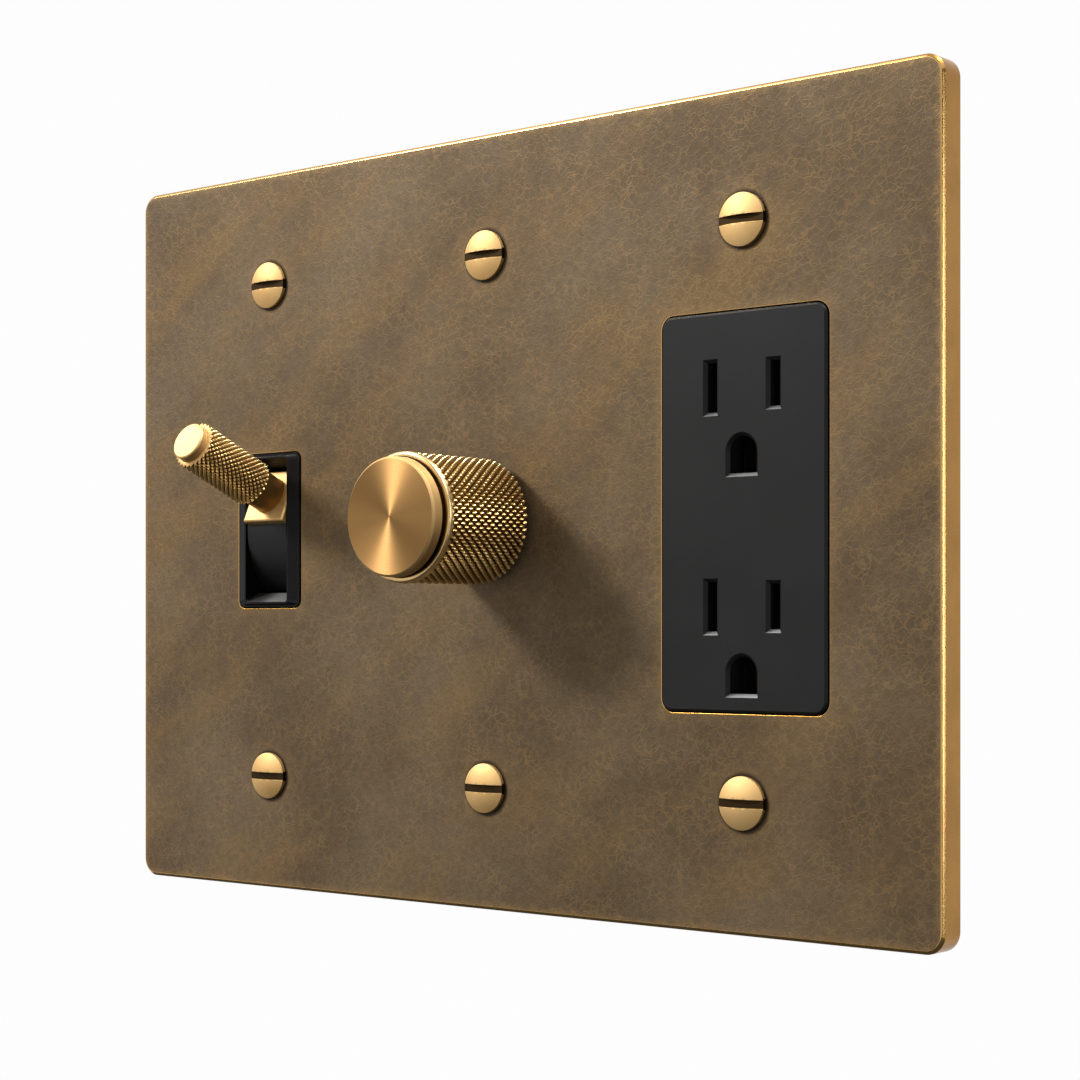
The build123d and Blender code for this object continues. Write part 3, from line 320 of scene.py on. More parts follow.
class Graph:
    """Shader nodes of one material, whose coordinates are millimetres in the shared frame."""

    def __init__(self, name: str) -> None:
        """Start a material.

        Args:
            name: The material's name.
        """
        self.material = bpy.data.materials.new(name)
        self.material.use_nodes = True
        self.tree = self.material.node_tree
        self.shader = self.tree.nodes["Principled BSDF"]
        place = self.add("ShaderNodeTexCoord").outputs["Object"]
        self.place = self.scaled(place, (1.0 / MM, 1.0 / MM, 1.0 / MM))

    def add(self, kind: str, sockets: dict | None = None, **settings: object) -> bpy.types.Node:
        """Add a node.

        Args:
            kind: Blender's name of the node type.
            sockets: Values, or other nodes' outputs, for its inputs.
            settings: Values for its own settings.

        Returns:
            The new node.
        """
        node = self.tree.nodes.new(kind)
        for key, value in settings.items():
            setattr(node, key, value)
        for key, value in (sockets or {}).items():
            self.feed(node.inputs[key], value)
        return node

    def feed(self, socket: bpy.types.NodeSocket, value: object) -> None:
        """Set a socket to a value, or link another node's output to it.

        Args:
            socket: The input socket.
            value: A plain value or an output socket.
        """
        if isinstance(value, bpy.types.NodeSocket):
            self.tree.links.new(value, socket)
        else:
            socket.default_value = value

    def set(self, **sockets: object) -> None:
        """Set the shader's own sockets; underscores stand for spaces."""
        for key, value in sockets.items():
            self.feed(self.shader.inputs[key.replace("_", " ")], value)

    def scaled(
        self,
        vector: bpy.types.NodeSocket,
        scale: tuple[float, float, float],
        turn: tuple[float, float, float] = (0.0, 0.0, 0.0),
    ) -> bpy.types.NodeSocket:
        """Turn and scale coordinates.

        Args:
            vector: The coordinates.
            scale: Factor along each axis.
            turn: Turn about each axis in degrees.

        Returns:
            The changed coordinates.
        """
        angles = tuple(math.radians(angle) for angle in turn)
        sockets = {"Vector": vector, "Scale": scale, "Rotation": angles}
        return self.add("ShaderNodeMapping", sockets).outputs["Vector"]

    def slanted(self, turn: float, stretch: float) -> bpy.types.NodeSocket:
        """Draw the coordinates out along a slant across the plate's face.

        Args:
            turn: The slant, as a turn about Y in degrees.
            stretch: How many times longer a pattern becomes along it.

        Returns:
            The changed coordinates.
        """
        sockets = {
            "Vector": self.place,
            "Rotation": (0.0, math.radians(turn), 0.0),
            "Scale": (stretch, 1.0, 1.0),
        }
        return self.add("ShaderNodeMapping", sockets, vector_type="TEXTURE").outputs["Vector"]

    def noise(
        self,
        size: float,
        detail: float = 3.0,
        rough: float = 0.55,
        vector: bpy.types.NodeSocket | None = None,
    ) -> bpy.types.NodeSocket:
        """Add soft noise.

        Args:
            size: Size of its largest blots, in millimetres.
            detail: How many finer layers it has.
            rough: How strong those are.
            vector: Other coordinates than the plain ones.

        Returns:
            The noise, about 0.5.
        """
        sockets = {"Vector": vector or self.place, "Scale": 1.0 / size, "Detail": detail, "Roughness": rough}
        return self.add("ShaderNodeTexNoise", sockets).outputs["Fac"]

    def math(self, operation: str, first: object, second: object = 0.0) -> bpy.types.NodeSocket:
        """Add a Math node.

        Args:
            operation: Blender's name of the operation.
            first: The first value or socket.
            second: The second value or socket.

        Returns:
            The result.
        """
        node = self.add("ShaderNodeMath", operation=operation)
        self.feed(node.inputs[0], first)
        self.feed(node.inputs[1], second)
        return node.outputs[0]

    def spread(
        self, value: bpy.types.NodeSocket, low: float, high: float, start: float = 0.0, end: float = 1.0
    ) -> bpy.types.NodeSocket:
        """Map a value smoothly from one span to another.

        Args:
            value: The value.
            low: Value that gives start.
            high: Value that gives end.
            start: Result at low.
            end: Result at high.

        Returns:
            The mapped value.
        """
        sockets = {"Value": value, "From Min": low, "From Max": high, "To Min": start, "To Max": end}
        node = self.add("ShaderNodeMapRange", sockets, interpolation_type="SMOOTHSTEP")
        return node.outputs["Result"]

    def mix(self, share: object, first: object, second: object, blend: str = "MIX") -> bpy.types.NodeSocket:
        """Mix two colours.

        Args:
            share: How much of the second colour.
            first: The first colour or socket.
            second: The second colour or socket.
            blend: How they are mixed.

        Returns:
            The mixed colour.
        """
        node = self.add("ShaderNodeMix", data_type="RGBA", blend_type=blend)
        for index, value in ((0, share), (6, first), (7, second)):
            self.feed(node.inputs[index], self.tone(value))
        return node.outputs[2]

    @staticmethod
    def tone(value: object) -> object:
        """Add the alpha to a plain colour and leave a number or a socket alone."""
        return (*value, 1.0) if isinstance(value, tuple) and len(value) == 3 else value

    def bump(self, height: bpy.types.NodeSocket, depth: float, strength: float = 1.0) -> bpy.types.NodeSocket:
        """Turn a height into a normal.

        Args:
            height: The height, from 0 to 1.
            depth: What a height of 1 stands for, in millimetres.
            strength: Share of the effect.

        Returns:
            The normal.
        """
        sockets = {"Height": height, "Distance": depth * MM, "Strength": strength}
        return self.add("ShaderNodeBump", sockets).outputs["Normal"]


Colour = tuple[float, float, float]


@dataclass(frozen=True)
class Brass:
    """Bare brass with a satin polish."""

    name: str
    colour: Colour
    deep: Colour
    roughness: float = 0.24
    scratch: float = 0.003
    blot_size: float = 9.0
    grain_size: float = 0.18
    hair_size: float = 0.5
    hair_scale: tuple[float, float, float] = (0.25, 3.0, 3.0)
    hair_turn: tuple[float, float, float] = (15.0, 35.0, 20.0)
    mark_share: float = 0.06

    def tone(self, graph: Graph) -> bpy.types.NodeSocket:
        """Mix the brass with a faint tarnish.

        Args:
            graph: The material's nodes.

        Returns:
            The colour.
        """
        tarnish = graph.spread(graph.noise(self.blot_size, detail=4.0), low=0.35, high=0.7)
        return graph.mix(tarnish, self.colour, self.deep)

    def polish(self, graph: Graph) -> object:
        """Return the roughness, the same all over plain brass."""
        return self.roughness

    def make(self) -> bpy.types.Material:
        """Build the material: toned brass with hairline scratches.

        Returns:
            The material.
        """
        graph = Graph(self.name)
        grain = graph.noise(self.grain_size, detail=2.0)
        drawn = graph.scaled(graph.place, self.hair_scale, self.hair_turn)
        hair = graph.noise(self.hair_size, detail=2.0, vector=drawn)
        graph.set(Base_Color=self.tone(graph), Metallic=1.0)
        marks = graph.math("ADD", grain, hair)
        rough = graph.math("ADD", graph.math("MULTIPLY", marks, self.mark_share), -self.mark_share)
        graph.set(Roughness=graph.math("ADD", rough, self.polish(graph)))
        graph.set(Normal=graph.bump(marks, self.scratch))
        return graph.material


@dataclass(frozen=True)
class KnurledBrass(Brass):
    """Brass whose knurl is worn bright on its points and dark in its valleys, where tarnish and painted shade lie.
    """

    start: tuple[float, float, float] = (0.0, 0.0, 0.0)
    axis: tuple[float, float, float] = (0.0, -1.0, 0.0)
    valley: float = 1.0
    top: float = 2.0
    # tarnish darkened into painted shade for the knurl's creases
    valley_tarnish_and_shade: Colour = (0.040, 0.022, 0.005)
    flank: Colour = (0.60, 0.355, 0.10)
    dulling: float = 0.10

    def height(self, graph: Graph) -> bpy.types.NodeSocket:
        """Measure how high a place stands on the knurl.

        Args:
            graph: The material's nodes.

        Returns:
            0 in a valley and 1 at the full radius.
        """
        offset = graph.add("ShaderNodeVectorMath", operation="SUBTRACT")
        graph.feed(offset.inputs[0], graph.place)
        graph.feed(offset.inputs[1], self.start)
        across = graph.add("ShaderNodeVectorMath", operation="CROSS_PRODUCT")
        graph.feed(across.inputs[0], offset.outputs[0])
        graph.feed(across.inputs[1], self.axis)
        radius = graph.add("ShaderNodeVectorMath", operation="LENGTH")
        graph.feed(radius.inputs[0], across.outputs[0])
        rise = graph.math("SUBTRACT", radius.outputs["Value"], self.valley)
        return graph.math("DIVIDE", rise, self.top - self.valley)

    def tone(self, graph: Graph) -> bpy.types.NodeSocket:
        """Mix the valleys' tarnish and painted shade, dull flanks and bright points by height.

        Args:
            graph: The material's nodes.

        Returns:
            The colour.
        """
        height = self.height(graph)
        # painted shade: the valleys take the dark tarnish colour, darker than tarnish alone
        lower = graph.mix(graph.spread(height, low=0.0, high=0.40), self.valley_tarnish_and_shade, self.flank)
        return graph.mix(graph.spread(height, low=0.50, high=0.85), lower, super().tone(graph))

    def polish(self, graph: Graph) -> object:
        """Return the roughness, which falls towards the points."""
        dull = self.roughness + self.dulling
        return graph.spread(self.height(graph), low=0.30, high=0.85, start=dull, end=self.roughness)


@dataclass(frozen=True)
class SpunBrass(Brass):
    """Brass faced on a lathe, with fine rings round the knob's axis."""

    anisotropy: float = 0.9
    stretch_turn: float = 0.25
    ring_size: float = 0.14
    ring_share: float = 0.10

    def make(self) -> bpy.types.Material:
        """Build the material: rings that stretch each reflection towards the rim.

        Returns:
            The material.
        """
        graph = Graph(self.name)
        axes = graph.add("ShaderNodeSeparateXYZ", {"Vector": graph.place}).outputs
        square = graph.math("ADD", graph.math("POWER", axes["X"], 2.0), graph.math("POWER", axes["Z"], 2.0))
        radius = graph.add("ShaderNodeCombineXYZ", {"X": graph.math("SQRT", square)}).outputs["Vector"]
        rings = graph.noise(self.ring_size, detail=2.0, vector=radius)
        tone = graph.mix(graph.spread(rings, low=0.3, high=0.7), self.deep, self.colour)
        change = graph.math("MULTIPLY", rings, self.ring_share)
        rough = graph.math("ADD", change, self.roughness - self.ring_share / 2)
        graph.set(Base_Color=tone, Metallic=1.0, Roughness=rough)
        tangent = graph.add("ShaderNodeTangent", direction_type="RADIAL", axis="Y").outputs["Tangent"]
        graph.set(Anisotropic=self.anisotropy, Anisotropic_Rotation=self.stretch_turn, Tangent=tangent)
        return graph.material


@dataclass(frozen=True)
class Patina:
    """Dark bronze patina on the plate's face, with fine brass threads."""

    name: str = "patina"
    dark: Colour = (0.096, 0.064, 0.034)
    light: Colour = (0.136, 0.096, 0.055)
    warm: Colour = (0.166, 0.102, 0.041)
    vein: Colour = (0.285, 0.168, 0.062)
    worn: Colour = (0.300, 0.180, 0.070)
    cloud_size: float = 38.0
    streak_size: float = 15.0
    streak_stretch: float = 3.2
    streak_share: float = 0.7
    speck_size: float = 1.1
    speck_change: float = 0.10
    slant: float = -34.0
    cross_slant: float = 50.0
    thread_size: float = 1.6
    thread_stretch: float = 1.7
    cross_size: float = 2.1
    cross_stretch: float = 1.5
    faintest_vein: float = 0.06
    strongest_vein: float = 0.31
    skin_size: float = 0.45
    relief: float = 0.022
    thread_width: float = 0.085
    waver_rate: float = 0.9
    waver_reach: float = 1.6
    ragged_size: float = 2.2
    ragged_reach: float = 2.4
    border_wear: float = 0.35
    window_wear: float = 0.16
    screw_wear: float = 0.10
    half_width: float = 95.0
    half_height: float = 70.5
    windows: tuple[tuple[float, float, float], ...] = ((-57.0, 8.8, 15.3), (57.0, 16.9, 33.6))
    screw_pitch: float = 57.0
    screw_z: float = 48.42
    screw_radius: float = 4.5
    # grime with painted contact shade, darkening a ring round each screw head
    grime_and_shade: Colour = (0.012, 0.008, 0.004)

    def make(self) -> bpy.types.Material:
        """Build the material in layers, from broad clouds to the brass that shows along the edges.

        Returns:
            The material.
        """
        graph = Graph(self.name)
        threads = self.cells(graph, self.thread_size, self.slant, self.thread_stretch)
        crossing = self.cells(graph, self.cross_size, self.cross_slant, self.cross_stretch)
        threads = graph.math("MAXIMUM", threads, crossing)
        patches = graph.noise(6.0, detail=3.0)
        shown = graph.spread(patches, 0.35, 0.65, start=self.faintest_vein, end=self.strongest_vein)
        veins = graph.math("MULTIPLY", threads, shown)
        tone = graph.mix(veins, self.ground(graph), self.vein)
        worn = self.wear(graph)
        tone = graph.mix(worn, tone, self.worn)
        # painted shade and grime: a dark ring round each screw head stands for its contact shadow
        grime_and_shade_share = graph.spread(self.screw_gap(graph), low=0.1, high=1.0, start=0.9, end=0.0)
        tone = graph.mix(grime_and_shade_share, tone, self.grime_and_shade)
        graph.set(Base_Color=tone, Metallic=graph.math("ADD", graph.math("MULTIPLY", worn, 0.5), 0.30))
        skin = graph.noise(self.skin_size, detail=3.0, rough=0.6)
        rough = graph.math("ADD", graph.math("MULTIPLY", skin, 0.16), 0.44)
        graph.set(Roughness=graph.math("SUBTRACT", rough, graph.math("MULTIPLY", veins, 0.10)))
        height = graph.math("ADD", graph.math("MULTIPLY", threads, 0.5), skin)
        graph.set(Normal=graph.bump(height, self.relief), Specular_IOR_Level=0.12)
        return graph.material

    def ground(self, graph: Graph) -> bpy.types.NodeSocket:
        """Lay the patina's own colours: broad clouds, slanting streaks and fine specks.

        Args:
            graph: The material's nodes.

        Returns:
            The colour without threads and wear.
        """
        clouds = graph.spread(graph.noise(self.cloud_size, detail=4.0, rough=0.6), low=0.36, high=0.66)
        tone = graph.mix(clouds, self.dark, self.light)
        slanted = graph.slanted(self.slant, self.streak_stretch)
        streaks = graph.noise(self.streak_size, detail=4.0, rough=0.6, vector=slanted)
        streaks = graph.spread(streaks, low=0.44, high=0.72)
        tone = graph.mix(graph.math("MULTIPLY", streaks, self.streak_share), tone, self.warm)
        specks = graph.noise(self.speck_size, detail=3.0, rough=0.6)
        level = graph.spread(specks, 0.3, 0.7, start=1.0 - self.speck_change, end=1.0 + self.speck_change)
        grey = graph.add("ShaderNodeCombineColor", {"Red": level, "Green": level, "Blue": level})
        return graph.mix(1.0, tone, grey.outputs["Color"], "MULTIPLY")

    def cells(self, graph: Graph, size: float, turn: float, stretch: float) -> bpy.types.NodeSocket:
        """Draw the soft wavering outlines of small drawn-out cells.

        Args:
            graph: The material's nodes.
            size: Width of a cell, in millimetres.
            turn: Direction that the cells are drawn out along, in degrees.
            stretch: How much longer than wide they are.

        Returns:
            1 on an outline and 0 beside it.
        """
        sockets = {"Vector": graph.place, "Scale": self.waver_rate / size, "Detail": 2.0}
        waver = graph.add("ShaderNodeTexNoise", sockets)
        reach = self.waver_reach * size
        shift = graph.add("ShaderNodeVectorMath", operation="MULTIPLY_ADD")
        graph.feed(shift.inputs[0], waver.outputs["Color"])
        graph.feed(shift.inputs[1], (reach, 0.0, reach))
        graph.feed(shift.inputs[2], graph.slanted(turn, stretch))
        axes = graph.add("ShaderNodeSeparateXYZ", {"Vector": shift.outputs[0]}).outputs
        flat = graph.add("ShaderNodeCombineXYZ", {"X": axes["X"], "Y": axes["Z"]}).outputs["Vector"]
        sockets = {"Vector": flat, "Scale": 1.0 / size}
        settings = {"feature": "DISTANCE_TO_EDGE", "voronoi_dimensions": "2D"}
        outline = graph.add("ShaderNodeTexVoronoi", sockets, **settings)
        distance = outline.outputs["Distance"]
        return graph.spread(distance, low=0.0, high=self.thread_width, start=1.0, end=0.0)

    def wear(self, graph: Graph) -> bpy.types.NodeSocket:
        """Find where brass shows through: the border, the windows' edges and around the screws.

        Args:
            graph: The material's nodes.

        Returns:
            1 where brass shows and 0 elsewhere.
        """
        axes = graph.add("ShaderNodeSeparateXYZ", {"Vector": graph.place}).outputs
        up = graph.math("ABSOLUTE", axes["Z"])
        side = graph.math("SUBTRACT", self.half_width, graph.math("ABSOLUTE", axes["X"]))
        border = graph.math("MINIMUM", side, graph.math("SUBTRACT", self.half_height, up))
        uneven = graph.noise(self.ragged_size, detail=4.0, rough=0.65)
        ragged = graph.math("MULTIPLY", uneven, self.ragged_reach)
        gap = graph.math("SUBTRACT", border, ragged)
        total = graph.spread(gap, low=-0.9, high=0.9, start=self.border_wear, end=0.0)
        for middle, half_width, half_height in self.windows:
            across = graph.math("ABSOLUTE", graph.math("SUBTRACT", axes["X"], middle))
            gap = graph.math("SUBTRACT", across, half_width)
            gap = graph.math("MAXIMUM", gap, graph.math("SUBTRACT", up, half_height))
            gap = graph.math("SUBTRACT", gap, ragged)
            near = graph.spread(gap, low=-1.4, high=1.4, start=self.window_wear, end=0.0)
            total = graph.math("MAXIMUM", total, near)
        gap = graph.math("SUBTRACT", self.screw_gap(graph), ragged)
        near = graph.spread(gap, low=-1.0, high=3.0, start=self.screw_wear, end=0.0)
        return graph.math("MAXIMUM", total, near)

    def screw_gap(self, graph: Graph) -> bpy.types.NodeSocket:
        """Measure the distance from the nearest screw head, in millimetres.

        Args:
            graph: The material's nodes.

        Returns:
            The distance from the head's edge.
        """
        axes = graph.add("ShaderNodeSeparateXYZ", {"Vector": graph.place}).outputs
        lane = graph.add("ShaderNodeMath", operation="WRAP")
        for index, value in enumerate((axes["X"], -self.screw_pitch / 2, self.screw_pitch / 2)):
            graph.feed(lane.inputs[index], value)
        rise = graph.math("SUBTRACT", graph.math("ABSOLUTE", axes["Z"]), self.screw_z)
        square = graph.math("ADD", graph.math("POWER", lane.outputs[0], 2.0), graph.math("POWER", rise, 2.0))
        return graph.math("SUBTRACT", graph.math("SQRT", square), self.screw_radius)


@dataclass(frozen=True)
class Moulding:
    """Moulded plastic with a fine matte skin."""

    name: str
    colour: Colour
    pale: Colour
    roughness: float = 0.5
    skin: float = 0.012
    specular: float = 0.42
    flow_size: float = 14.0
    skin_size: float = 0.16
    skin_share: float = 0.14

    def make(self) -> bpy.types.Material:
        """Build the material: faint flow clouds and a fine eroded skin.

        Returns:
            The material.
        """
        graph = Graph(self.name)
        flow = graph.spread(graph.noise(self.flow_size, detail=3.0), low=0.3, high=0.7)
        tone = graph.mix(flow, self.colour, self.pale)
        graph.set(Base_Color=self.lay_dust_and_light(graph, tone), Specular_IOR_Level=self.specular)
        skin = graph.noise(self.skin_size, detail=2.0)
        change = graph.math("MULTIPLY", skin, self.skin_share)
        rough = graph.math("ADD", change, self.roughness - self.skin_share / 2)
        graph.set(Roughness=rough, Normal=graph.bump(skin, self.skin))
        return graph.material

    def lay_dust_and_light(self, graph: Graph, tone: bpy.types.NodeSocket) -> bpy.types.NodeSocket:
        """Return the colour with dust and painted light on the plastic; here there is none."""
        return tone


@dataclass(frozen=True)
class DustyLitMoulding(Moulding):
    """Moulded plastic with dust that grows towards one side, paler there as painted light on the lit end."""

    shade_side_x: float = 0.0
    lit_side_x: float = 1.0
    # pale dust colour that also stands for painted light on the ledge's lit end
    dust: Colour = (0.12, 0.116, 0.11)

    def lay_dust_and_light(self, graph: Graph, tone: bpy.types.NodeSocket) -> bpy.types.NodeSocket:
        """Mix dust and painted light over the plastic's colour along X, paler towards the lit side.

        Args:
            graph: The material's nodes.
            tone: The clean colour.

        Returns:
            The colour with dust and painted light.
        """
        axes = graph.add("ShaderNodeSeparateXYZ", {"Vector": graph.place}).outputs
        return graph.mix(graph.spread(axes["X"], self.shade_side_x, self.lit_side_x), tone, self.dust)


@dataclass(frozen=True)
class SheetMetal:
    """Rolled or plated metal with a grain along one direction."""

    name: str
    colour: Colour
    stain: Colour
    roughness: float = 0.34
    grain: tuple[float, float, float] = (1.0, 1.0, 0.06)
    grain_size: float = 0.35
    grain_share: float = 0.22
    relief: float = 0.012
    stain_size: float = 7.0

    def make(self) -> bpy.types.Material:
        """Build the material: stained plating with a rolled grain.

        Returns:
            The material.
        """
        graph = Graph(self.name)
        rolled = graph.noise(self.grain_size, detail=3.0, vector=graph.scaled(graph.place, self.grain))
        stain = graph.spread(graph.noise(self.stain_size, detail=4.0, rough=0.6), low=0.42, high=0.72)
        graph.set(Base_Color=graph.mix(stain, self.colour, self.stain), Metallic=1.0)
        change = graph.math("MULTIPLY", rolled, self.grain_share)
        rough = graph.math("ADD", change, self.roughness - self.grain_share / 2)
        graph.set(Roughness=rough, Normal=graph.bump(rolled, self.relief))
        return graph.material


Finish = Brass | Patina | Moulding | SheetMetal

BRIGHT = Brass("bright_brass", (0.64, 0.43, 0.19), (0.55, 0.35, 0.14))
SCREW = Brass("screw_brass", (0.57, 0.375, 0.16), (0.50, 0.315, 0.125), 0.60)
# darker copy of the satin brass: painted shade on the rod's neck under the grip
SHADED_NECK = Brass("shaded_neck_brass", (0.36, 0.215, 0.070), (0.31, 0.180, 0.056), 0.42)
SPUN = SpunBrass("spun_brass", (0.380, 0.215, 0.078), (0.330, 0.182, 0.062), 0.54)
RAW = Brass("raw_brass", (0.50, 0.335, 0.145), (0.43, 0.275, 0.11), 0.40)
MILLED = Brass("milled_brass", (0.36, 0.180, 0.035), (0.31, 0.150, 0.028), 0.28)
EDGE = Brass("polished_edge", (0.58, 0.355, 0.125), (0.52, 0.310, 0.105), 0.22)
SATIN = Brass("satin_brass", (0.62, 0.41, 0.175), (0.55, 0.345, 0.14), 0.58)
# darker copy of the satin brass: painted shade on the knob cap's side
SHADED_CAP_SIDE = Brass("shaded_cap_brass", (0.47, 0.305, 0.128), (0.42, 0.262, 0.104), 0.58)
# near-black brass that is painted shade: slot floors, window walls, the knob's bore and the ground hole
PAINTED_SHADE_BRASS = Brass("painted_shade_brass", (0.035, 0.020, 0.007), (0.025, 0.014, 0.005), 0.50)
BLACK = Moulding("black_plastic", (0.0095, 0.0095, 0.0093), (0.012, 0.012, 0.0118), 0.44, 0.012, 0.14)
# darker copies of the black plastic: painted shade for the drum and bezel of the toggle's well; the bezel's copy
# is a little glossier
SHADED_DRUM_BLACK = Moulding("shaded_drum_black", (0.007, 0.007, 0.007), (0.009, 0.009, 0.009), 0.38, 0.006, 0.13)
SHADED_BEZEL_BLACK = Moulding("shaded_bezel_black", (0.0035, 0.0035, 0.0034), (0.005, 0.005, 0.0049), 0.38, 0.006, 0.09)
# paler, glossier copy of the black plastic: painted light on the slots' upward lower lips
LIT_LIP_BLACK = Moulding("lit_lip_black", (0.042, 0.041, 0.040), (0.058, 0.057, 0.055), 0.34, 0.004, 0.8)
DUSTY_LIT = DustyLitMoulding(
    "dusty_lit_black",
    (0.010, 0.010, 0.010),
    (0.016, 0.016, 0.015),
    roughness=0.6,
    skin=0.03,
    specular=0.3,
    shade_side_x=-59.5,
    lit_side_x=-55.0,
)
HOUSING = Moulding("housing_plastic", (0.030, 0.030, 0.033), (0.040, 0.040, 0.043), 0.55, 0.02)
IVORY = Moulding("moving_plastic", (0.55, 0.53, 0.47), (0.60, 0.58, 0.52), 0.45)
RESIN = Moulding("component_plastic", (0.018, 0.018, 0.018), (0.028, 0.028, 0.028), 0.6)
BOARD = Moulding("board_laminate", (0.020, 0.105, 0.045), (0.028, 0.130, 0.055), 0.3)
FILM = Moulding("capacitor_film", (0.48, 0.26, 0.03), (0.54, 0.30, 0.04), 0.3)
STEEL = SheetMetal("plated_steel", (0.56, 0.57, 0.56), (0.46, 0.47, 0.47))
WIRE = SheetMetal("spring_steel", (0.40, 0.41, 0.43), (0.30, 0.31, 0.33))
SINK = SheetMetal("heat_sink", (0.62, 0.63, 0.64), (0.54, 0.55, 0.56), 0.4)
CONTACT = SheetMetal("contact_brass", (0.68, 0.48, 0.20), (0.58, 0.38, 0.14))
SILVER = SheetMetal("silver_contact", (0.72, 0.72, 0.70), (0.60, 0.60, 0.58), 0.3)
NICKEL = SheetMetal("nickel_screw", (0.60, 0.58, 0.53), (0.50, 0.48, 0.43), 0.25)
GREEN = SheetMetal("green_screw", (0.035, 0.19, 0.06), (0.025, 0.13, 0.04), 0.4)
COPPER = SheetMetal("copper_winding", (0.55, 0.20, 0.07), (0.42, 0.14, 0.05), 0.3, (0.3, 1.0, 0.3))


class Shop:
    """Makes each finish once and hands out its material."""

    def __init__(self) -> None:
        """Start with nothing made."""
        self.made: dict[str, bpy.types.Material] = {}

    def get(self, finish: Finish) -> bpy.types.Material:
        """Return a finish's material, making it the first time.

        Args:
            finish: One of the finishes.

        Returns:
            The material.
        """
        if finish.name not in self.made:
            self.made[finish.name] = finish.make()
        return self.made[finish.name]

    def dress(self, obj: bpy.types.Object, finish: Finish) -> None:
        """Make a finish the main material of an object.

        Args:
            obj: The piece or CAD node.
            finish: Its finish.
        """
        material = self.get(finish)
        if obj.material_slots:
            obj.material_slots[0].material = material
        else:
            obj.data.materials.append(material)


def place_piece(obj: bpy.types.Object, body: str) -> None:
    """Let a finished piece ride on its body and report it.

    Args:
        obj: The piece.
        body: The CAD body that it moves with.
    """
    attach(obj, body)
    obj.data.calc_loop_triangles()
    log.info("%s: %d triangles on %s", obj.name, len(obj.data.loop_triangles), body)


def place_spring(shop: Shop, node: str, bodies: tuple[str, str]) -> None:
    """Dress a coil spring, which sits between its seat and the piece that it pushes, and bake its place into its
    mesh.

    Args:
        shop: The maker of finishes.
        node: The spring's CAD node.
        bodies: The body of its seat and the body that it pushes.
    """
    spring = Bench.adopt(node, f"{node}_coil", COIL_EDGE, COIL_ANGLE)
    shop.dress(spring, WIRE)
    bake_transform(spring)
    log.info("%s: between %s and %s", spring.name, bodies[0], bodies[1])


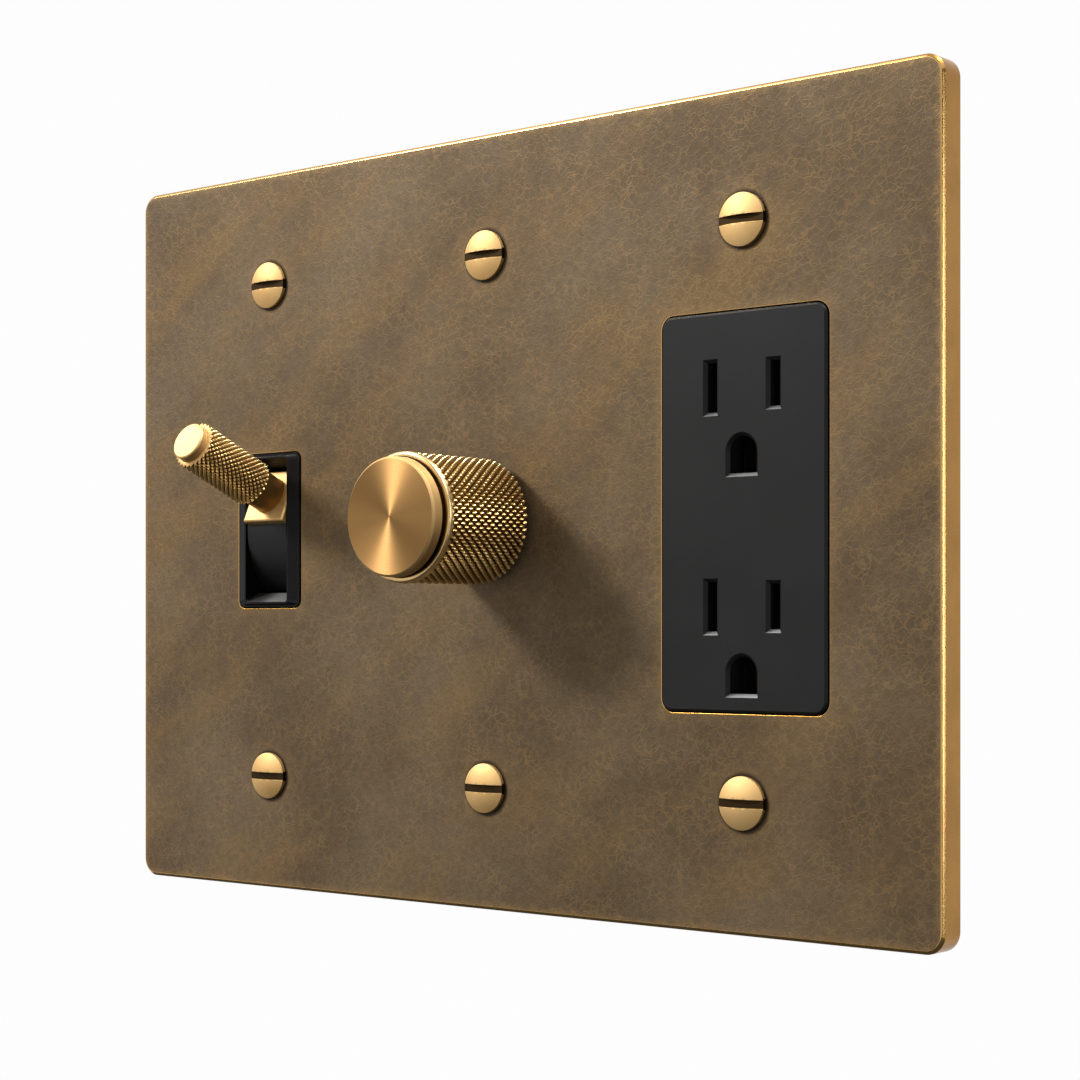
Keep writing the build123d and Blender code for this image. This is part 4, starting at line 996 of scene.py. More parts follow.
@dataclass
class Knurl:
    """Sleeve with a diamond knurl: rings of raised points, each half a step on from the last."""

    name: str
    node: str
    body: str
    radius: float
    bore: float
    length: float
    base: Vector
    axis: Vector
    around: int
    along: int
    depth: float
    chamfer: float
    tip: float
    rim: float = 0.0
    lip: float = 0.0
    flank: Colour = (0.46, 0.265, 0.072)
    points: Colour = (0.92, 0.70, 0.36)
    dull_points: Colour = (0.82, 0.58, 0.27)
    roughness: float = 0.30
    end_ease: float = 0.3
    overshoot: float = 0.34
    crease: float = 45.0

    def finish(self) -> KnurledBrass:
        """Choose the knurl's brass, whose tone follows the depth below the points.

        Returns:
            The finish.
        """
        return KnurledBrass(
            f"{self.name}_brass",
            self.points,
            self.dull_points,
            roughness=self.roughness,
            start=tuple(self.base / MM),
            axis=tuple(self.axis),
            valley=(self.radius - self.depth) / MM,
            top=self.radius / MM,
            flank=self.flank,
        )

    def build(self) -> bpy.types.Object:
        """Extrude a ring along the sleeve, raise every other point and cut each point flat.

        Returns:
            The knurled sleeve.
        """
        valley = self.radius - self.depth
        top = self.length - self.chamfer
        knurl_top = top - 2 * self.rim
        step = (knurl_top - self.chamfer) / (2 * self.along)
        rings = [(valley - self.chamfer, 0.0)]
        rings += [(valley, self.chamfer + step * row) for row in range(2 * self.along + 1)]
        if self.rim > 0.0:
            rings += [(self.radius, top - self.rim), (self.radius, top)]
            eased = self.end_ease * self.chamfer
            rings += [(self.radius - eased, top + self.chamfer - eased)]
            rings += [(self.radius - self.chamfer, self.length)]
        else:
            rings += [(valley - self.chamfer, self.length)]
        if self.lip > 0.0:
            rings += [(self.radius - self.chamfer - self.lip, self.length)]
        rings += [(self.bore, self.length), (self.bore, 0.0)]
        Bench.clear()
        bpy.ops.mesh.primitive_circle_add(vertices=2 * self.around, radius=self.bore)
        obj = bpy.context.object
        Bench.edit(obj)
        Bench.choose(obj, MeshPart.VERTEX, lambda vertex: True)
        last = (self.bore, 0.0)
        for ring in rings:
            rise = (0.0, 0.0, ring[1] - last[1])
            share = ring[0] / last[0]
            bpy.ops.mesh.extrude_region_move(TRANSFORM_OT_translate={"value": rise})
            bpy.ops.transform.resize(value=(share, share, 1.0), center_override=ORIGIN)
            last = ring
        bpy.ops.mesh.select_all(action="SELECT")
        bpy.ops.mesh.remove_doubles(threshold=MERGE)
        self.raise_points(obj, valley, step, knurl_top)
        Bench.clear()
        obj.rotation_mode = "QUATERNION"
        obj.rotation_quaternion = self.axis.to_track_quat("Z", "X")
        obj.location = self.base
        Bench.settle(obj, self.name)
        Bench.edit(obj)
        bpy.ops.mesh.select_all(action="SELECT")
        bpy.ops.mesh.normals_make_consistent(inside=False)
        Bench.smooth(obj, self.crease)
        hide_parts(self.node)
        return obj

    def is_end(self, face: bmesh.types.BMFace) -> bool:
        """Say whether a face looks along the sleeve."""
        return face.normal.dot(self.axis) > 0.8

    def is_inside(self, face: bmesh.types.BMFace) -> bool:
        """Say whether a face is in the bore or within the bright lip of the sleeve's end.

        Args:
            face: A face of the sleeve.

        Returns:
            Whether it lies inside.
        """
        offset = face.calc_center_median() - self.base
        across = offset - offset.dot(self.axis) * self.axis
        return across.length < self.radius - self.chamfer - self.lip

    def raise_points(self, obj: bpy.types.Object, valley: float, step: float, end: float) -> None:
        """Lift every other point of the rings to full radius, crease the valleys and flatten the points.

        Args:
            obj: The ringed tube, open in edit mode.
            valley: Radius of the rings.
            step: Distance between two rings.
            end: Height of the last ring.
        """

        def is_point(vertex: bmesh.types.BMVert) -> bool:
            """Say whether a vertex of the rings is one that is raised.

            Args:
                vertex: A vertex of the tube.

            Returns:
                Whether it becomes a point.
            """
            if abs(vertex.co.xy.length - valley) > TOUCH:
                return False
            column = round(math.atan2(vertex.co.y, vertex.co.x) / (math.pi / self.around))
            row = round((vertex.co.z - self.chamfer) / step)
            return (column + row) % 2 == 0

        sharp = self.radius + self.overshoot * self.tip
        Bench.choose(obj, MeshPart.VERTEX, is_point)
        share = sharp / valley
        bpy.ops.transform.resize(value=(share, share, 1.0), center_override=ORIGIN)
        above = end + TOUCH
        Bench.choose(obj, MeshPart.FACE, lambda f: f.calc_center_median().xy.length > valley)
        bpy.ops.mesh.quads_convert_to_tris(quad_method="SHORTEST_DIAGONAL")
        Bench.choose(obj, MeshPart.VERTEX, lambda v: v.co.xy.length > sharp - TOUCH and v.co.z < above)
        bpy.ops.mesh.bevel(offset=self.tip, segments=3, affect="VERTICES", clamp_overlap=True)


@dataclass
class FacePlate:
    """The milled brass plate."""

    shop: Shop
    width: float = 190.0 * MM
    height: float = 141.0 * MM
    thickness: float = 5.0 * MM
    corner: float = 3.5 * MM
    edge: float = 0.5 * MM
    bevel: float = 0.35 * MM
    rim: float = 6.0 * MM
    wall: float = 1.6 * MM
    hole: float = 1.9 * MM
    bore: float = 5.4 * MM
    screw_z: float = 48.42 * MM
    pocket_corner: float = 2.0 * MM
    crease: float = 30.0
    toggle_window: tuple[float, float, float] = (17.7 * MM, 30.7 * MM, 1.65 * MM)
    outlet_window: tuple[float, float, float] = (33.8 * MM, 67.3 * MM, 2.45 * MM)

    def build(self) -> bpy.types.Object:
        """Mill the plate: slab, pocket, windows and holes, then its rounded edges.

        Returns:
            The plate.
        """
        slab_size = Vector((self.width, self.thickness, self.height))
        plate = Bench.block("brass_plate", slab_size, Vector((0.0, -self.thickness / 2, 0.0)), self.corner)
        Bench.round_edges(plate, self.is_front_edge, self.edge, 3, 0.27, clamp=False)
        depth = self.thickness - self.wall
        pocket_size = Vector((self.width - 2 * self.rim, 2 * depth, self.height - 2 * self.rim))
        Bench.cut(plate, Bench.block("pocket", pocket_size, Vector(ORIGIN), self.pocket_corner))
        for gang, window in ((GANGS[0], self.toggle_window), (GANGS[2], self.outlet_window)):
            size = Vector((window[0], 3 * self.thickness, window[1]))
            Bench.cut(plate, Bench.block("window", size, Vector((gang * MM, 0.0, 0.0)), window[2]))
        Bench.cut(plate, Bench.rod("bore", self.bore, 3 * self.thickness, Vector(ORIGIN), 64))
        for gang in GANGS:
            for side in SIDES:
                centre = Vector((gang * MM, 0.0, side * self.screw_z))
                Bench.cut(plate, Bench.rod("hole", self.hole, 3 * self.thickness, centre, 24))
        Bench.round_edges(plate, self.is_front_edge, self.bevel, 2)
        Bench.smooth(plate, self.crease)
        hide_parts("face_plate")
        return plate

    def is_front_edge(self, edge: bmesh.types.BMEdge) -> bool:
        """Say whether an edge lies in the front face and turns a corner there.

        Args:
            edge: An edge of the plate.

        Returns:
            Whether it is one of the front's own edges.
        """
        middle = (edge.verts[0].co + edge.verts[1].co) / 2
        in_front = abs(middle.y + self.thickness) < TOUCH
        return in_front and edge.is_manifold and edge.calc_face_angle() > math.radians(self.crease)

    def is_window_wall(self, face: bmesh.types.BMFace) -> bool:
        """Say whether a face is in a window or hole, behind its bright lip.

        Args:
            face: A face of the plate.

        Returns:
            Whether it is such a wall.
        """
        middle = face.calc_center_median()
        inside = abs(middle.x) < self.width / 2 - self.rim and abs(middle.z) < self.height / 2 - self.rim
        return inside and -face.normal.y < 0.6 and middle.y < self.wall - self.thickness - TOUCH

    def is_back(self, face: bmesh.types.BMFace) -> bool:
        """Say whether a face is on the plate's back or in the pocket there.

        Args:
            face: A face of the plate.

        Returns:
            Whether it is out of sight on the wall.
        """
        middle = face.calc_center_median()
        rim = self.rim - TOUCH
        inside = abs(middle.x) < self.width / 2 - rim and abs(middle.z) < self.height / 2 - rim
        return face.normal.y > 0.5 or (inside and middle.y > self.wall - self.thickness)

    def is_front(self, face: bmesh.types.BMFace) -> bool:
        """Say whether a face is the plate's front."""
        return face.calc_center_median().y < TOUCH - self.thickness

    @staticmethod
    def is_polished(face: bmesh.types.BMFace) -> bool:
        """Say whether a face slopes at the front's border or a window's lip, and doesn't look up; upward bevels
        keep the darker milled brass as painted shade.
        """
        return 0.2 < -face.normal.y < 0.98 and face.normal.z < 0.3

    def make(self) -> None:
        """Build the plate and dress it: milled brass all over, patina on the face."""
        plate = self.build()
        self.shop.dress(plate, MILLED)
        Bench.paint(plate, self.shop.get(Patina()), self.is_front)
        # upward bevels are left out of the polished brass: painted shade along the top edges
        Bench.paint(plate, self.shop.get(EDGE), self.is_polished)
        Bench.paint(plate, self.shop.get(RAW), self.is_back)
        # painted shade on the window and hole walls, darkening the gaps
        Bench.paint(plate, self.shop.get(PAINTED_SHADE_BRASS), self.is_window_wall)
        place_piece(plate, "unit")


@dataclass
class SlottedScrews:
    """Slotted machine screws that are all alike, two to a gang."""

    shop: Shop
    name: str
    node: str
    slot: str
    finish: Finish
    seat: float
    radius: float
    edge: float
    rise: float
    rounding: float
    slot_depth: float
    neck_radius: float
    neck_length: float
    shank_radius: float
    shank_length: float
    place_z: float
    sides: int
    slot_width: float = 1.4 * MM
    rings: int = 7
    pitch: float = 0.8 * MM
    groove: float = 0.26 * MM
    steps: int = 6
    point_share: float = 0.75
    slot_easing: float = 0.12 * MM
    slot_crease: float = 50.0
    slot_floor: float = 0.3 * MM
    crease: float = 40.0

    def build(self) -> bpy.types.Object:
        """Model one screw at the middle of the frame, its head towards the front.

        Returns:
            The screw.
        """
        middle = Vector((0.0, -self.seat - self.edge / 2, 0.0))
        screw = Bench.rod(self.name, self.radius, self.edge, middle, self.sides)
        if self.rise > 0.0:
            self.raise_dome(screw)
        self.cut_thread(screw)
        top = self.seat + self.edge + self.rise
        size = Vector((4 * self.radius, 2 * self.slot_depth, self.slot_width))
        Bench.cut(screw, Bench.block("slot", size, Vector((0.0, -top, 0.0))))
        Bench.round_edges(screw, self.is_rim, self.rounding, 4)
        Bench.round_edges(screw, self.is_slot_edge, self.slot_easing, 2)
        Bench.smooth(screw, self.crease)
        return screw

    @staticmethod
    def draw_out(length: float, share: float) -> None:
        """Extrude the selected face along Y and scale it about the screw's axis."""
        bpy.ops.mesh.extrude_region_move(TRANSFORM_OT_translate={"value": (0.0, length, 0.0)})
        bpy.ops.transform.resize(value=(share, 1.0, share), center_override=ORIGIN)

    def raise_dome(self, screw: bpy.types.Object) -> None:
        """Extrude the head's front in rings that follow a sphere.

        Args:
            screw: The head.
        """
        Bench.edit(screw)
        Bench.choose(screw, MeshPart.FACE, lambda f: f.normal.y < -0.9)
        sphere = (self.radius**2 + self.rise**2) / (2 * self.rise)
        last_radius, last_rise = self.radius, 0.0
        for ring in range(1, self.rings + 1):
            radius = self.radius * math.cos(ring / (self.rings + 1) * math.pi / 2)
            rise = self.rise - sphere + math.sqrt(sphere**2 - radius**2)
            self.draw_out(last_rise - rise, radius / last_radius)
            last_radius, last_rise = radius, rise
        Bench.clear()

    def cut_thread(self, screw: bpy.types.Object) -> None:
        """Extrude neck and shank from the head's back in rings, then draw the rings in along a helix.

        Args:
            screw: The head.
        """
        step = self.pitch / self.steps
        rows = int(self.shank_length / step) - 2
        start = self.neck_length - self.seat + step
        Bench.edit(screw)
        Bench.choose(screw, MeshPart.FACE, lambda f: f.normal.y > 0.9)
        bpy.ops.mesh.inset(thickness=self.radius - self.neck_radius)
        self.draw_out(self.neck_length, 1.0)
        self.draw_out(step, self.shank_radius / self.neck_radius)
        for _ in range(rows):
            self.draw_out(step, 1.0)
        self.draw_out(step, self.point_share)

        def turn_of(vertex: bmesh.types.BMVert) -> int:
            """Count how many sides round the helix a vertex of the shank is.

            Args:
                vertex: A vertex of the screw.

            Returns:
                The number of sides, or -1 off the shank.
            """
            row = round((vertex.co.y - start) / step)
            if not 0 <= row <= rows:
                return -1
            column = round(math.atan2(vertex.co.z, vertex.co.x) / (2 * math.pi / self.sides))
            return (row * (self.sides // self.steps) + column) % self.sides

        for turn in range(self.sides):
            Bench.choose(screw, MeshPart.VERTEX, lambda vertex: turn_of(vertex) == turn)
            share = 1.0 - self.groove / self.shank_radius * abs(2.0 * turn / self.sides - 1.0)
            bpy.ops.transform.resize(value=(share, 1.0, share), center_override=ORIGIN)
        Bench.clear()

    def is_rim(self, edge: bmesh.types.BMEdge) -> bool:
        """Say whether an edge is where the head's front meets its side.

        Args:
            edge: An edge of the screw.

        Returns:
            Whether it is on the rim.
        """
        rim_y = -self.seat - self.edge
        return all(
            abs(vertex.co.y - rim_y) < TOUCH and vertex.co.xz.length > 0.98 * self.radius
            for vertex in edge.verts
        )

    def is_slot_edge(self, edge: bmesh.types.BMEdge) -> bool:
        """Say whether an edge is a lip of the slot.

        Args:
            edge: An edge of the screw.

        Returns:
            Whether it is such a lip.
        """
        on_wall = all(
            abs(abs(v.co.z) - self.slot_width / 2) < TOUCH and v.co.y < -self.seat for v in edge.verts
        )
        return on_wall and edge.is_manifold and edge.calc_face_angle() > math.radians(self.slot_crease)

    def is_slot_face(self, face: bmesh.types.BMFace) -> bool:
        """Say whether a face is the floor or a wall of the slot."""
        middle = face.calc_center_median()
        return abs(middle.z) < self.slot_width / 2 + TOUCH and middle.y < -self.seat - self.slot_floor

    def make(self) -> None:
        """Copy the screw to its six places and dress it."""
        model = self.build()
        self.shop.dress(model, self.finish)
        # painted shade in the screw slot
        Bench.paint(model, self.shop.get(PAINTED_SHADE_BRASS), self.is_slot_face)
        for number, (gang, side) in enumerate((g, s) for g in GANGS for s in SIDES):
            screw = bpy.data.objects.new(f"{self.name}_{number + 1}", model.data.copy())
            bpy.context.scene.collection.objects.link(screw)
            screw.location = (gang * MM, 0.0, side * self.place_z)
            Bench.settle(screw, screw.name)
            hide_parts(self.node)
            place_piece(screw, "unit")
        bpy.data.objects.remove(model)


def make_screws(shop: Shop) -> None:
    """Make the plate's dome-head screws and the straps' screws behind it.

    Args:
        shop: The maker of finishes.
    """
    SlottedScrews(
        shop,
        name="plate_screw",
        node="plate_screws",
        slot="bright_brass",
        finish=SCREW,
        seat=5.0 * MM,
        radius=4.5 * MM,
        edge=0.7 * MM,
        rise=0.9 * MM,
        rounding=0.45 * MM,
        slot_depth=0.9 * MM,
        neck_radius=1.42 * MM,
        neck_length=1.6 * MM,
        shank_radius=1.7 * MM,
        shank_length=7.4 * MM,
        place_z=48.42 * MM,
        sides=60,
    ).make()
    SlottedScrews(
        shop,
        name="box_screw",
        node="box_screws",
        slot="plated_steel",
        finish=STEEL,
        seat=1.5 * MM,
        radius=3.4 * MM,
        edge=1.4 * MM,
        rise=0.0,
        rounding=0.35 * MM,
        slot_depth=0.7 * MM,
        neck_radius=1.5 * MM,
        neck_length=1.45 * MM,
        shank_radius=1.75 * MM,
        shank_length=20.0 * MM,
        place_z=41.65 * MM,
        sides=24,
    ).make()


@dataclass
class ToggleSwitch:
    """Lever with its knurled grip, the drum and the bezel around it."""

    shop: Shop
    pivot: Vector
    tilt: float = 24.0
    foot_reach: float = 17.0 * MM
    neck: float = 5.2 * MM
    spring_seat: float = 3.3 * MM
    spring_reach: float = 7.3 * MM
    rod_reach: float = 4.0 * MM

    @property
    def rod_cut(self) -> float:
        """Return how far from the pivot the neck's painted shade ends, inside the grip."""
        return self.foot_reach + 1.5 * self.neck

    def make(self) -> None:
        """Build and dress the toggle's pieces and the spring behind its drum."""
        axis = Vector((0.0, -math.cos(math.radians(self.tilt)), math.sin(math.radians(self.tilt))))
        place_spring(self.shop, "toggle_spring", ("toggle", "plunger"))
        grip = Knurl(
            name="toggle_grip",
            node="toggle_sleeve",
            body="toggle",
            radius=4.75 * MM,
            bore=3.80 * MM,
            length=16.6 * MM,
            base=self.pivot + axis * (self.foot_reach + self.neck),
            axis=axis,
            around=26,
            along=13,
            depth=0.46 * MM,
            chamfer=0.30 * MM,
            tip=0.32 * MM,
            # paler flank than the knob's: a lit copy of the same knurled brass, painted light on the upturned grip
            flank=(0.76, 0.475, 0.155),
        )
        sleeve = grip.build()
        self.shop.dress(sleeve, grip.finish())
        Bench.paint(sleeve, self.shop.get(SATIN), grip.is_end)
        place_piece(sleeve, "toggle")
        for node, finish, body, slot, width in (
            ("toggle_lever", SATIN, "toggle", "bright_brass", 0.12 * MM),
            # the drum and bezel take darker copies of the black plastic as painted shade
            ("toggle_drum", SHADED_DRUM_BLACK, "toggle", "black_plastic", 0.15 * MM),
            ("toggle_bezel", SHADED_BEZEL_BLACK, "unit", "black_plastic", 0.15 * MM),
        ):
            piece = Bench.adopt(node, f"{node}_skin", width)
            self.shop.dress(piece, finish)
            if node == "toggle_lever":
                self.part_rod(piece, axis)
                # painted shade: the neck under the grip takes the darker brass
                Bench.paint(piece, self.shop.get(SHADED_NECK), lambda f: self.is_neck(f, axis))
            elif node == "toggle_bezel":
                # dust and painted light: the ledge grows paler towards its lit right end
                Bench.paint(piece, self.shop.get(DUSTY_LIT), self.is_ledge)
            place_piece(piece, body)

    def part_rod(self, lever: bpy.types.Object, axis: Vector) -> None:
        """Cut an edge round the rod inside the grip, so that the neck has faces of its own.

        Args:
            lever: The lever.
            axis: The direction of the rod.
        """
        Bench.edit(lever)
        bpy.ops.mesh.select_all(action="SELECT")
        bpy.ops.mesh.bisect(plane_co=self.pivot + axis * self.rod_cut, plane_no=axis)
        Bench.smooth(lever)

    def is_neck(self, face: bmesh.types.BMFace, axis: Vector) -> bool:
        """Say whether a face is on the rod's side, below the grip.

        Args:
            face: A face of the lever.
            axis: The direction of the rod.

        Returns:
            Whether it is on the neck.
        """
        offset = face.calc_center_median() - self.pivot
        along = offset.dot(axis)
        on_rod = (offset - along * axis).length < self.rod_reach
        return on_rod and abs(face.normal.dot(axis)) < 0.5 and along < self.rod_cut

    @staticmethod
    def is_ledge(face: bmesh.types.BMFace) -> bool:
        """Say whether a face is the bezel's sloping lower end, where dust lies and a pool of light is painted."""
        return face.normal.z > 0.8 and -face.normal.y > 0.3


@dataclass
class DimmerKnob:
    """Knurled knob with its spun cap."""

    shop: Shop
    back: float = 6.4 * MM
    spring_wire: float = 0.7 * MM
    cap_edge: float = 0.15 * MM
    face_depth: float = 0.05 * MM

    def make(self) -> None:
        """Build and dress the knob and the spring behind its shaft."""
        grip = Knurl(
            name="knob_grip",
            node="knob_sleeve",
            body="knob",
            radius=11.5 * MM,
            bore=8.55 * MM,
            length=20.9 * MM,
            base=Vector((0.0, -self.back, 0.0)),
            axis=Vector((0.0, -1.0, 0.0)),
            around=54,
            along=10,
            depth=0.70 * MM,
            chamfer=0.40 * MM,
            tip=0.48 * MM,
            rim=0.45 * MM,
            lip=0.45 * MM,
        )
        sleeve = grip.build()
        self.shop.dress(sleeve, grip.finish())
        Bench.paint(sleeve, self.shop.get(BRIGHT), grip.is_end)
        # painted shade in the bore and inside the sleeve's lip, darkening the gap round the cap
        Bench.paint(sleeve, self.shop.get(PAINTED_SHADE_BRASS), grip.is_inside)
        place_piece(sleeve, "knob")
        place_spring(self.shop, "dimmer_return_spring", ("unit", "push_button"))
        cap = Bench.adopt("knob_cap", "knob_cap_skin", self.cap_edge)
        # painted shade: the cap's side takes the darker copy of the satin brass
        self.shop.dress(cap, SHADED_CAP_SIDE)
        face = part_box("knob_cap")[0].y + self.face_depth
        Bench.paint(cap, self.shop.get(SPUN), lambda f: f.calc_center_median().y < face)
        place_piece(cap, "knob")


@dataclass
class Receptacle:
    """The black outlet face."""

    shop: Shop
    edge: float = 0.12 * MM
    border_z: float = 31.0 * MM
    lip: float = 1.2 * MM
    lip_front: float = 3.1 * MM
    lip_back: float = 1.8 * MM

    def add_lip(self, face: bpy.types.Object) -> None:
        """Run a thin lip round the face behind the plate, so that no light comes through the gap.

        Args:
            face: The outlet's face.
        """
        low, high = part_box("receptacle_face")
        middle = Vector(((low.x + high.x) / 2, -(self.lip_front + self.lip_back) / 2, 0.0))
        depth = self.lip_front - self.lip_back
        width = high.x - low.x
        height = high.z - low.z
        lip = Bench.block("lip", Vector((width + 2 * self.lip, depth, height + 2 * self.lip)), middle)
        hole = Vector((width - 2 * self.lip, 2 * depth, height - 2 * self.lip))
        Bench.cut(lip, Bench.block("lip_hole", hole, middle))
        Bench.fuse(face, lip)
        Bench.smooth(face)

    def is_lower_lip(self, face: bmesh.types.BMFace) -> bool:
        """Say whether a face is the lower lip of a slot, which slopes to the front and up."""
        inside = abs(face.calc_center_median().z) < self.border_z
        return inside and 0.15 < -face.normal.y < 0.97 and face.normal.z > 0.3

    def make(self) -> None:
        """Round the face's edges, run the lip round it and dress it."""
        face = Bench.adopt("receptacle_face", "outlet_face", self.edge)
        self.add_lip(face)
        self.shop.dress(face, BLACK)
        # painted light: the lower lips of the slots take the paler black
        Bench.paint(face, self.shop.get(LIT_LIP_BLACK), self.is_lower_lip)
        place_piece(face, "unit")


SLOT_FINISHES = {
    "patina_brass": MILLED,
    "bright_brass": BRIGHT,
    "black_plastic": BLACK,
    "housing_plastic": HOUSING,
    "moving_plastic": IVORY,
    "plated_steel": STEEL,
    "spring_steel": WIRE,
    "heat_sink": SINK,
    "contact_brass": CONTACT,
    "brass_screw": CONTACT,
    "nickel_screw": NICKEL,
    "green_screw": GREEN,
    "silver_contact": SILVER,
    "circuit_board": BOARD,
    "component_plastic": RESIN,
    "capacitor_film": FILM,
    "copper_winding": COPPER,
}
# painted shade: the ground contact is near-black so that the ground hole looks dark
NODE_FINISHES = {"ground_contact": PAINTED_SHADE_BRASS}


@dataclass
class BackOfDevices:
    """Straps, housings and fasteners behind the plate, with their edges eased."""

    shop: Shop
    housing_edge: float = 0.25 * MM
    strap_edge: float = 0.12 * MM
    screw_edge: float = 0.10 * MM
    head_radius: float = 2.4 * MM
    recess: Vector = Vector((2.8, 1.6, 0.55)) * MM

    def make(self) -> None:
        """Round the edges of every node, recess the assembly screws and dress them."""
        edges = {
            self.housing_edge: ("toggle_housing", "dimmer_housing", "receptacle_body"),
            self.strap_edge: ("toggle_strap", "dimmer_strap", "receptacle_strap", "strap_rivets"),
            self.screw_edge: (
                "receptacle_screws",
                "ground_screws",
                "toggle_terminal_screws",
                "dimmer_terminal_screws",
                "hot_terminal_screws",
                "neutral_terminal_screws",
            ),
        }
        slots = {part["node"]: part["material_slot"] for part in frame["record"]["subparts"]}
        for width, nodes in edges.items():
            for node in nodes:
                piece = Bench.adopt(node, f"{node}_eased", width)
                if node == "receptacle_screws":
                    self.recess_heads(piece)
                self.shop.dress(piece, SLOT_FINISHES[slots[node]])
                place_piece(piece, "unit")

    def recess_heads(self, screws: bpy.types.Object) -> None:
        """Cut a cross recess into each assembly screw's head.

        Args:
            screws: The four screws, which face backwards.
        """
        low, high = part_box("receptacle_screws")
        turned = Vector((self.recess.z, self.recess.y, self.recess.x))
        for x in (low.x + self.head_radius, high.x - self.head_radius):
            for z in (low.z + self.head_radius, high.z - self.head_radius):
                for size in (self.recess, turned):
                    Bench.cut(screws, Bench.block("recess", size, Vector((x, high.y, z))))
        Bench.smooth(screws)


def dress_nodes(shop: Shop) -> None:
    """Give every CAD node that stays its finish.

    Args:
        shop: The maker of finishes.
    """
    for part in frame["record"]["subparts"]:
        finish = NODE_FINISHES.get(part["node"], SLOT_FINISHES[part["material_slot"]])
        shop.dress(frame["nodes"][part["node"]], finish)


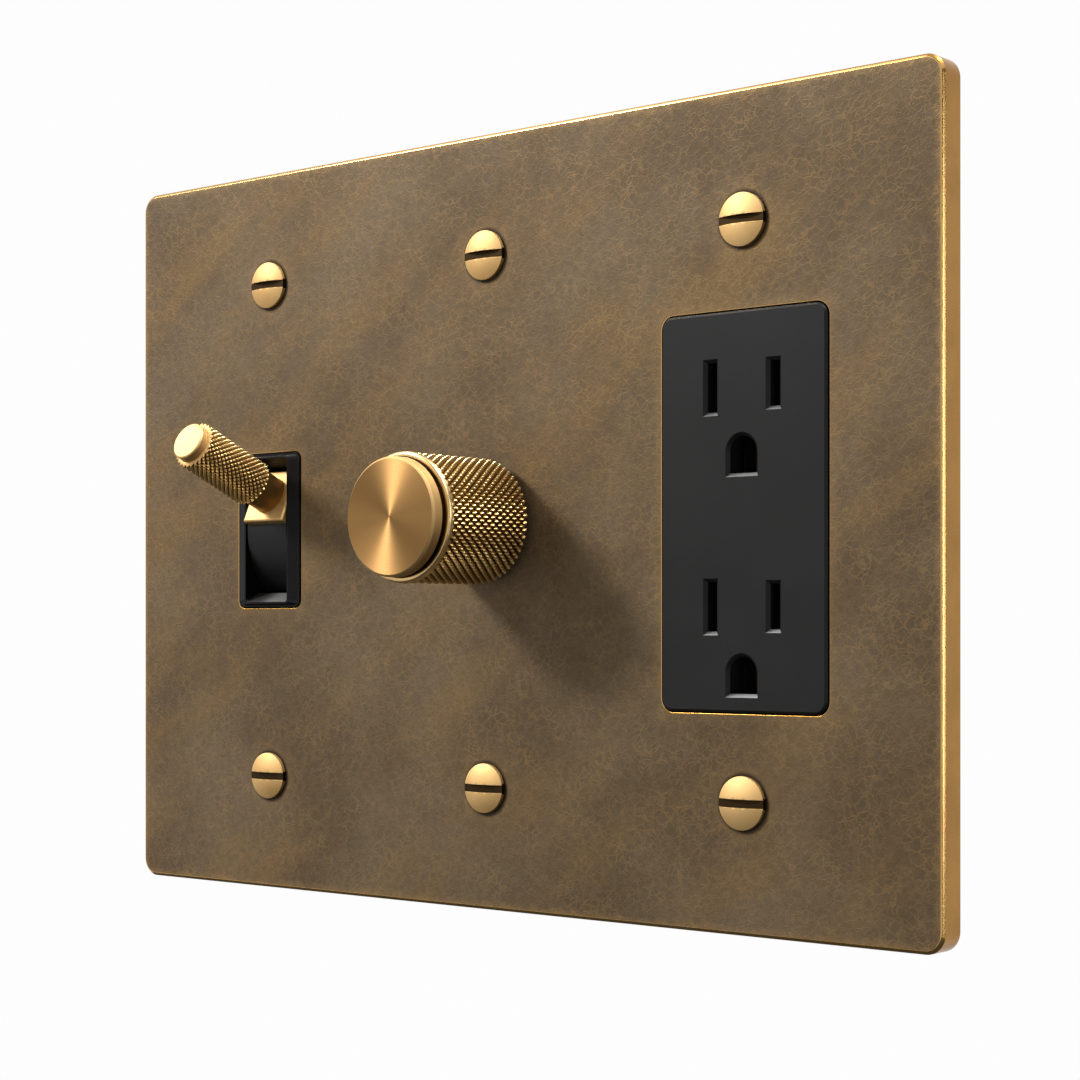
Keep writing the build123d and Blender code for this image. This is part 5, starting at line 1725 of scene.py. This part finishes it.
@dataclass
class Studio:
    """Floor, background, lamps and camera."""

    floor_z: float = -0.30
    floor_size: float = 8.0
    floor_tone: tuple[float, ...] = (0.86, 0.86, 0.86, 1.0)
    card_tone: tuple[float, ...] = (0.02, 0.02, 0.02, 1.0)
    matte: float = 0.9
    white: float = 0.985
    sky: float = 0.36
    near_glow: float = 0.55
    near_mm: float = 150.0
    far_mm: float = 800.0
    camera_place: Vector = Vector((277.4, -318.9, -19.7)) * MM
    azimuth: float = 40.03
    focal_px: float = 2303.0
    middle_px: tuple[float, float] = (543.5, 630.2)
    picture_px: float = 1080.0
    sensor: float = 36.0
    near_clip: float = 0.01

    def make(self) -> None:
        """Set up the whole studio."""
        bpy.context.scene.view_settings.view_transform = "Standard"
        self.make_world()
        self.make_floor()
        self.lamp("key_lamp", Vector((-1.22, -1.17, 1.07)), (0.38, 0.38), 40.0)
        self.lamp("crown_lamp", Vector((-0.45, -0.10, 0.80)), (0.30, 0.30), 3.0)
        self.lamp("over_lamp", Vector((0.28, 0.08, 0.72)), (0.36, 0.20), 15.0)
        self.lamp("strip_lamp", Vector((0.78, -0.42, 0.04)), (0.08, 0.32), 0.8)
        self.lamp("rear_lamp", Vector((0.80, 0.10, 0.14)), (0.20, 0.30), 1.4)
        self.card("right_card", Vector((1.00, -0.45, 0.0)), Vector((-1.0, 0.15, 0.0)), (1.6, 1.3))
        self.card("lower_card", Vector((0.05, -0.22, -0.29)), Vector((0.0, 0.0, 1.0)), (1.2, 1.1))
        self.make_camera()

    def is_seen(self, tree: bpy.types.NodeTree) -> bpy.types.NodeSocket:
        """Find rays that see the background: camera, glossy and transmission rays.

        Args:
            tree: The node tree of the world or the floor.

        Returns:
            1 for such a ray and 0 for others.
        """
        path = tree.nodes.new("ShaderNodeLightPath")
        total = path.outputs["Is Camera Ray"]
        for name in ("Is Glossy Ray", "Is Transmission Ray"):
            either = tree.nodes.new("ShaderNodeMath")
            either.operation = "MAXIMUM"
            tree.links.new(total, either.inputs[0])
            tree.links.new(path.outputs[name], either.inputs[1])
            total = either.outputs[0]
        return total

    def make_world(self) -> None:
        """Make a world that looks white and lights the object softly."""
        world = bpy.data.worlds.new("studio")
        bpy.context.scene.world = world
        world.use_nodes = True
        tree = world.node_tree
        background = tree.nodes["Background"]
        level = tree.nodes.new("ShaderNodeMapRange")
        level.inputs["To Min"].default_value = self.sky
        level.inputs["To Max"].default_value = self.white
        tree.links.new(self.is_seen(tree), level.inputs["Value"])
        tree.links.new(level.outputs["Result"], background.inputs["Strength"])
        background.inputs["Color"].default_value = (1.0, 1.0, 1.0, 1.0)

    def make_floor(self) -> None:
        """Lay a pale floor that looks white and keeps a faint shadow."""
        Bench.clear()
        bpy.ops.mesh.primitive_plane_add(size=self.floor_size, location=(0.0, 0.0, self.floor_z))
        floor = bpy.context.object
        floor.name = "floor"
        graph = Graph("pale_floor")
        graph.set(Base_Color=self.floor_tone, Roughness=self.matte)
        reach = graph.add("ShaderNodeVectorMath", operation="LENGTH")
        graph.feed(reach.inputs[0], graph.place)
        fade = graph.spread(reach.outputs["Value"], self.near_mm, self.far_mm, start=self.near_glow)
        share = graph.math("MULTIPLY", self.is_seen(graph.tree), fade)
        glow = graph.add("ShaderNodeEmission", {"Strength": self.white})
        mixed = graph.add("ShaderNodeMixShader", {"Fac": share})
        graph.feed(mixed.inputs[1], graph.shader.outputs["BSDF"])
        graph.feed(mixed.inputs[2], glow.outputs["Emission"])
        graph.feed(graph.tree.nodes["Material Output"].inputs["Surface"], mixed.outputs["Shader"])
        floor.data.materials.append(graph.material)

    def lamp(self, name: str, place: Vector, size: tuple[float, float], power: float) -> None:
        """Hang a soft lamp that points at the plate.

        Args:
            name: The lamp's name.
            place: Where it hangs.
            size: Its width and height.
            power: Its power in watts.
        """
        data = bpy.data.lights.new(name, "AREA")
        data.shape = "RECTANGLE"
        data.size, data.size_y = size
        data.energy = power
        lamp = bpy.data.objects.new(name, data)
        lamp.location = place
        lamp.rotation_euler = (-place).to_track_quat("-Z", "Y").to_euler()
        bpy.context.scene.collection.objects.link(lamp)

    def card(self, name: str, place: Vector, towards: Vector, size: tuple[float, float]) -> None:
        """Stand a dark card beside the object, out of the picture, for the metal to reflect.

        Args:
            name: The card's name.
            place: Its middle.
            towards: The direction that it faces.
            size: Its width and height.
        """
        Bench.clear()
        turn = towards.to_track_quat("Z", "Y").to_euler()
        bpy.ops.mesh.primitive_plane_add(size=1.0, location=place, rotation=turn)
        card = bpy.context.object
        card.name = name
        card.scale = (size[0], size[1], 1.0)
        card.visible_camera = False
        card.visible_shadow = False
        material = bpy.data.materials.new(name)
        material.use_nodes = True
        sockets = material.node_tree.nodes["Principled BSDF"].inputs
        sockets["Base Color"].default_value = self.card_tone
        sockets["Roughness"].default_value = self.matte
        card.data.materials.append(material)

    def make_camera(self) -> None:
        """Set the camera level, where the photo was taken from."""
        data = bpy.data.cameras.new("camera")
        data.sensor_width = self.sensor
        data.lens = self.focal_px / self.picture_px * self.sensor
        data.shift_x = (self.picture_px / 2 - self.middle_px[0]) / self.picture_px
        data.shift_y = (self.middle_px[1] - self.picture_px / 2) / self.picture_px
        data.clip_start = self.near_clip
        camera = bpy.data.objects.new("camera", data)
        camera.location = self.camera_place
        camera.rotation_euler = (math.pi / 2, 0.0, math.radians(self.azimuth))
        bpy.context.scene.collection.objects.link(camera)
        bpy.context.scene.camera = camera


def main() -> None:
    """Build every sub-assembly, dress the CAD nodes and set up the studio."""
    logging.basicConfig(level=logging.INFO, format="%(message)s")
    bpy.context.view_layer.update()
    hinge = next(joint for joint in frame["joints"] if joint["name"] == "toggle_tilt")
    shop = Shop()
    dress_nodes(shop)
    FacePlate(shop).make()
    make_screws(shop)
    ToggleSwitch(shop, Vector(hinge["pos_m"])).make()
    DimmerKnob(shop).make()
    Receptacle(shop).make()
    BackOfDevices(shop).make()
    Studio().make()
    Bench.clear()


if __name__ == "__main__":
    main()
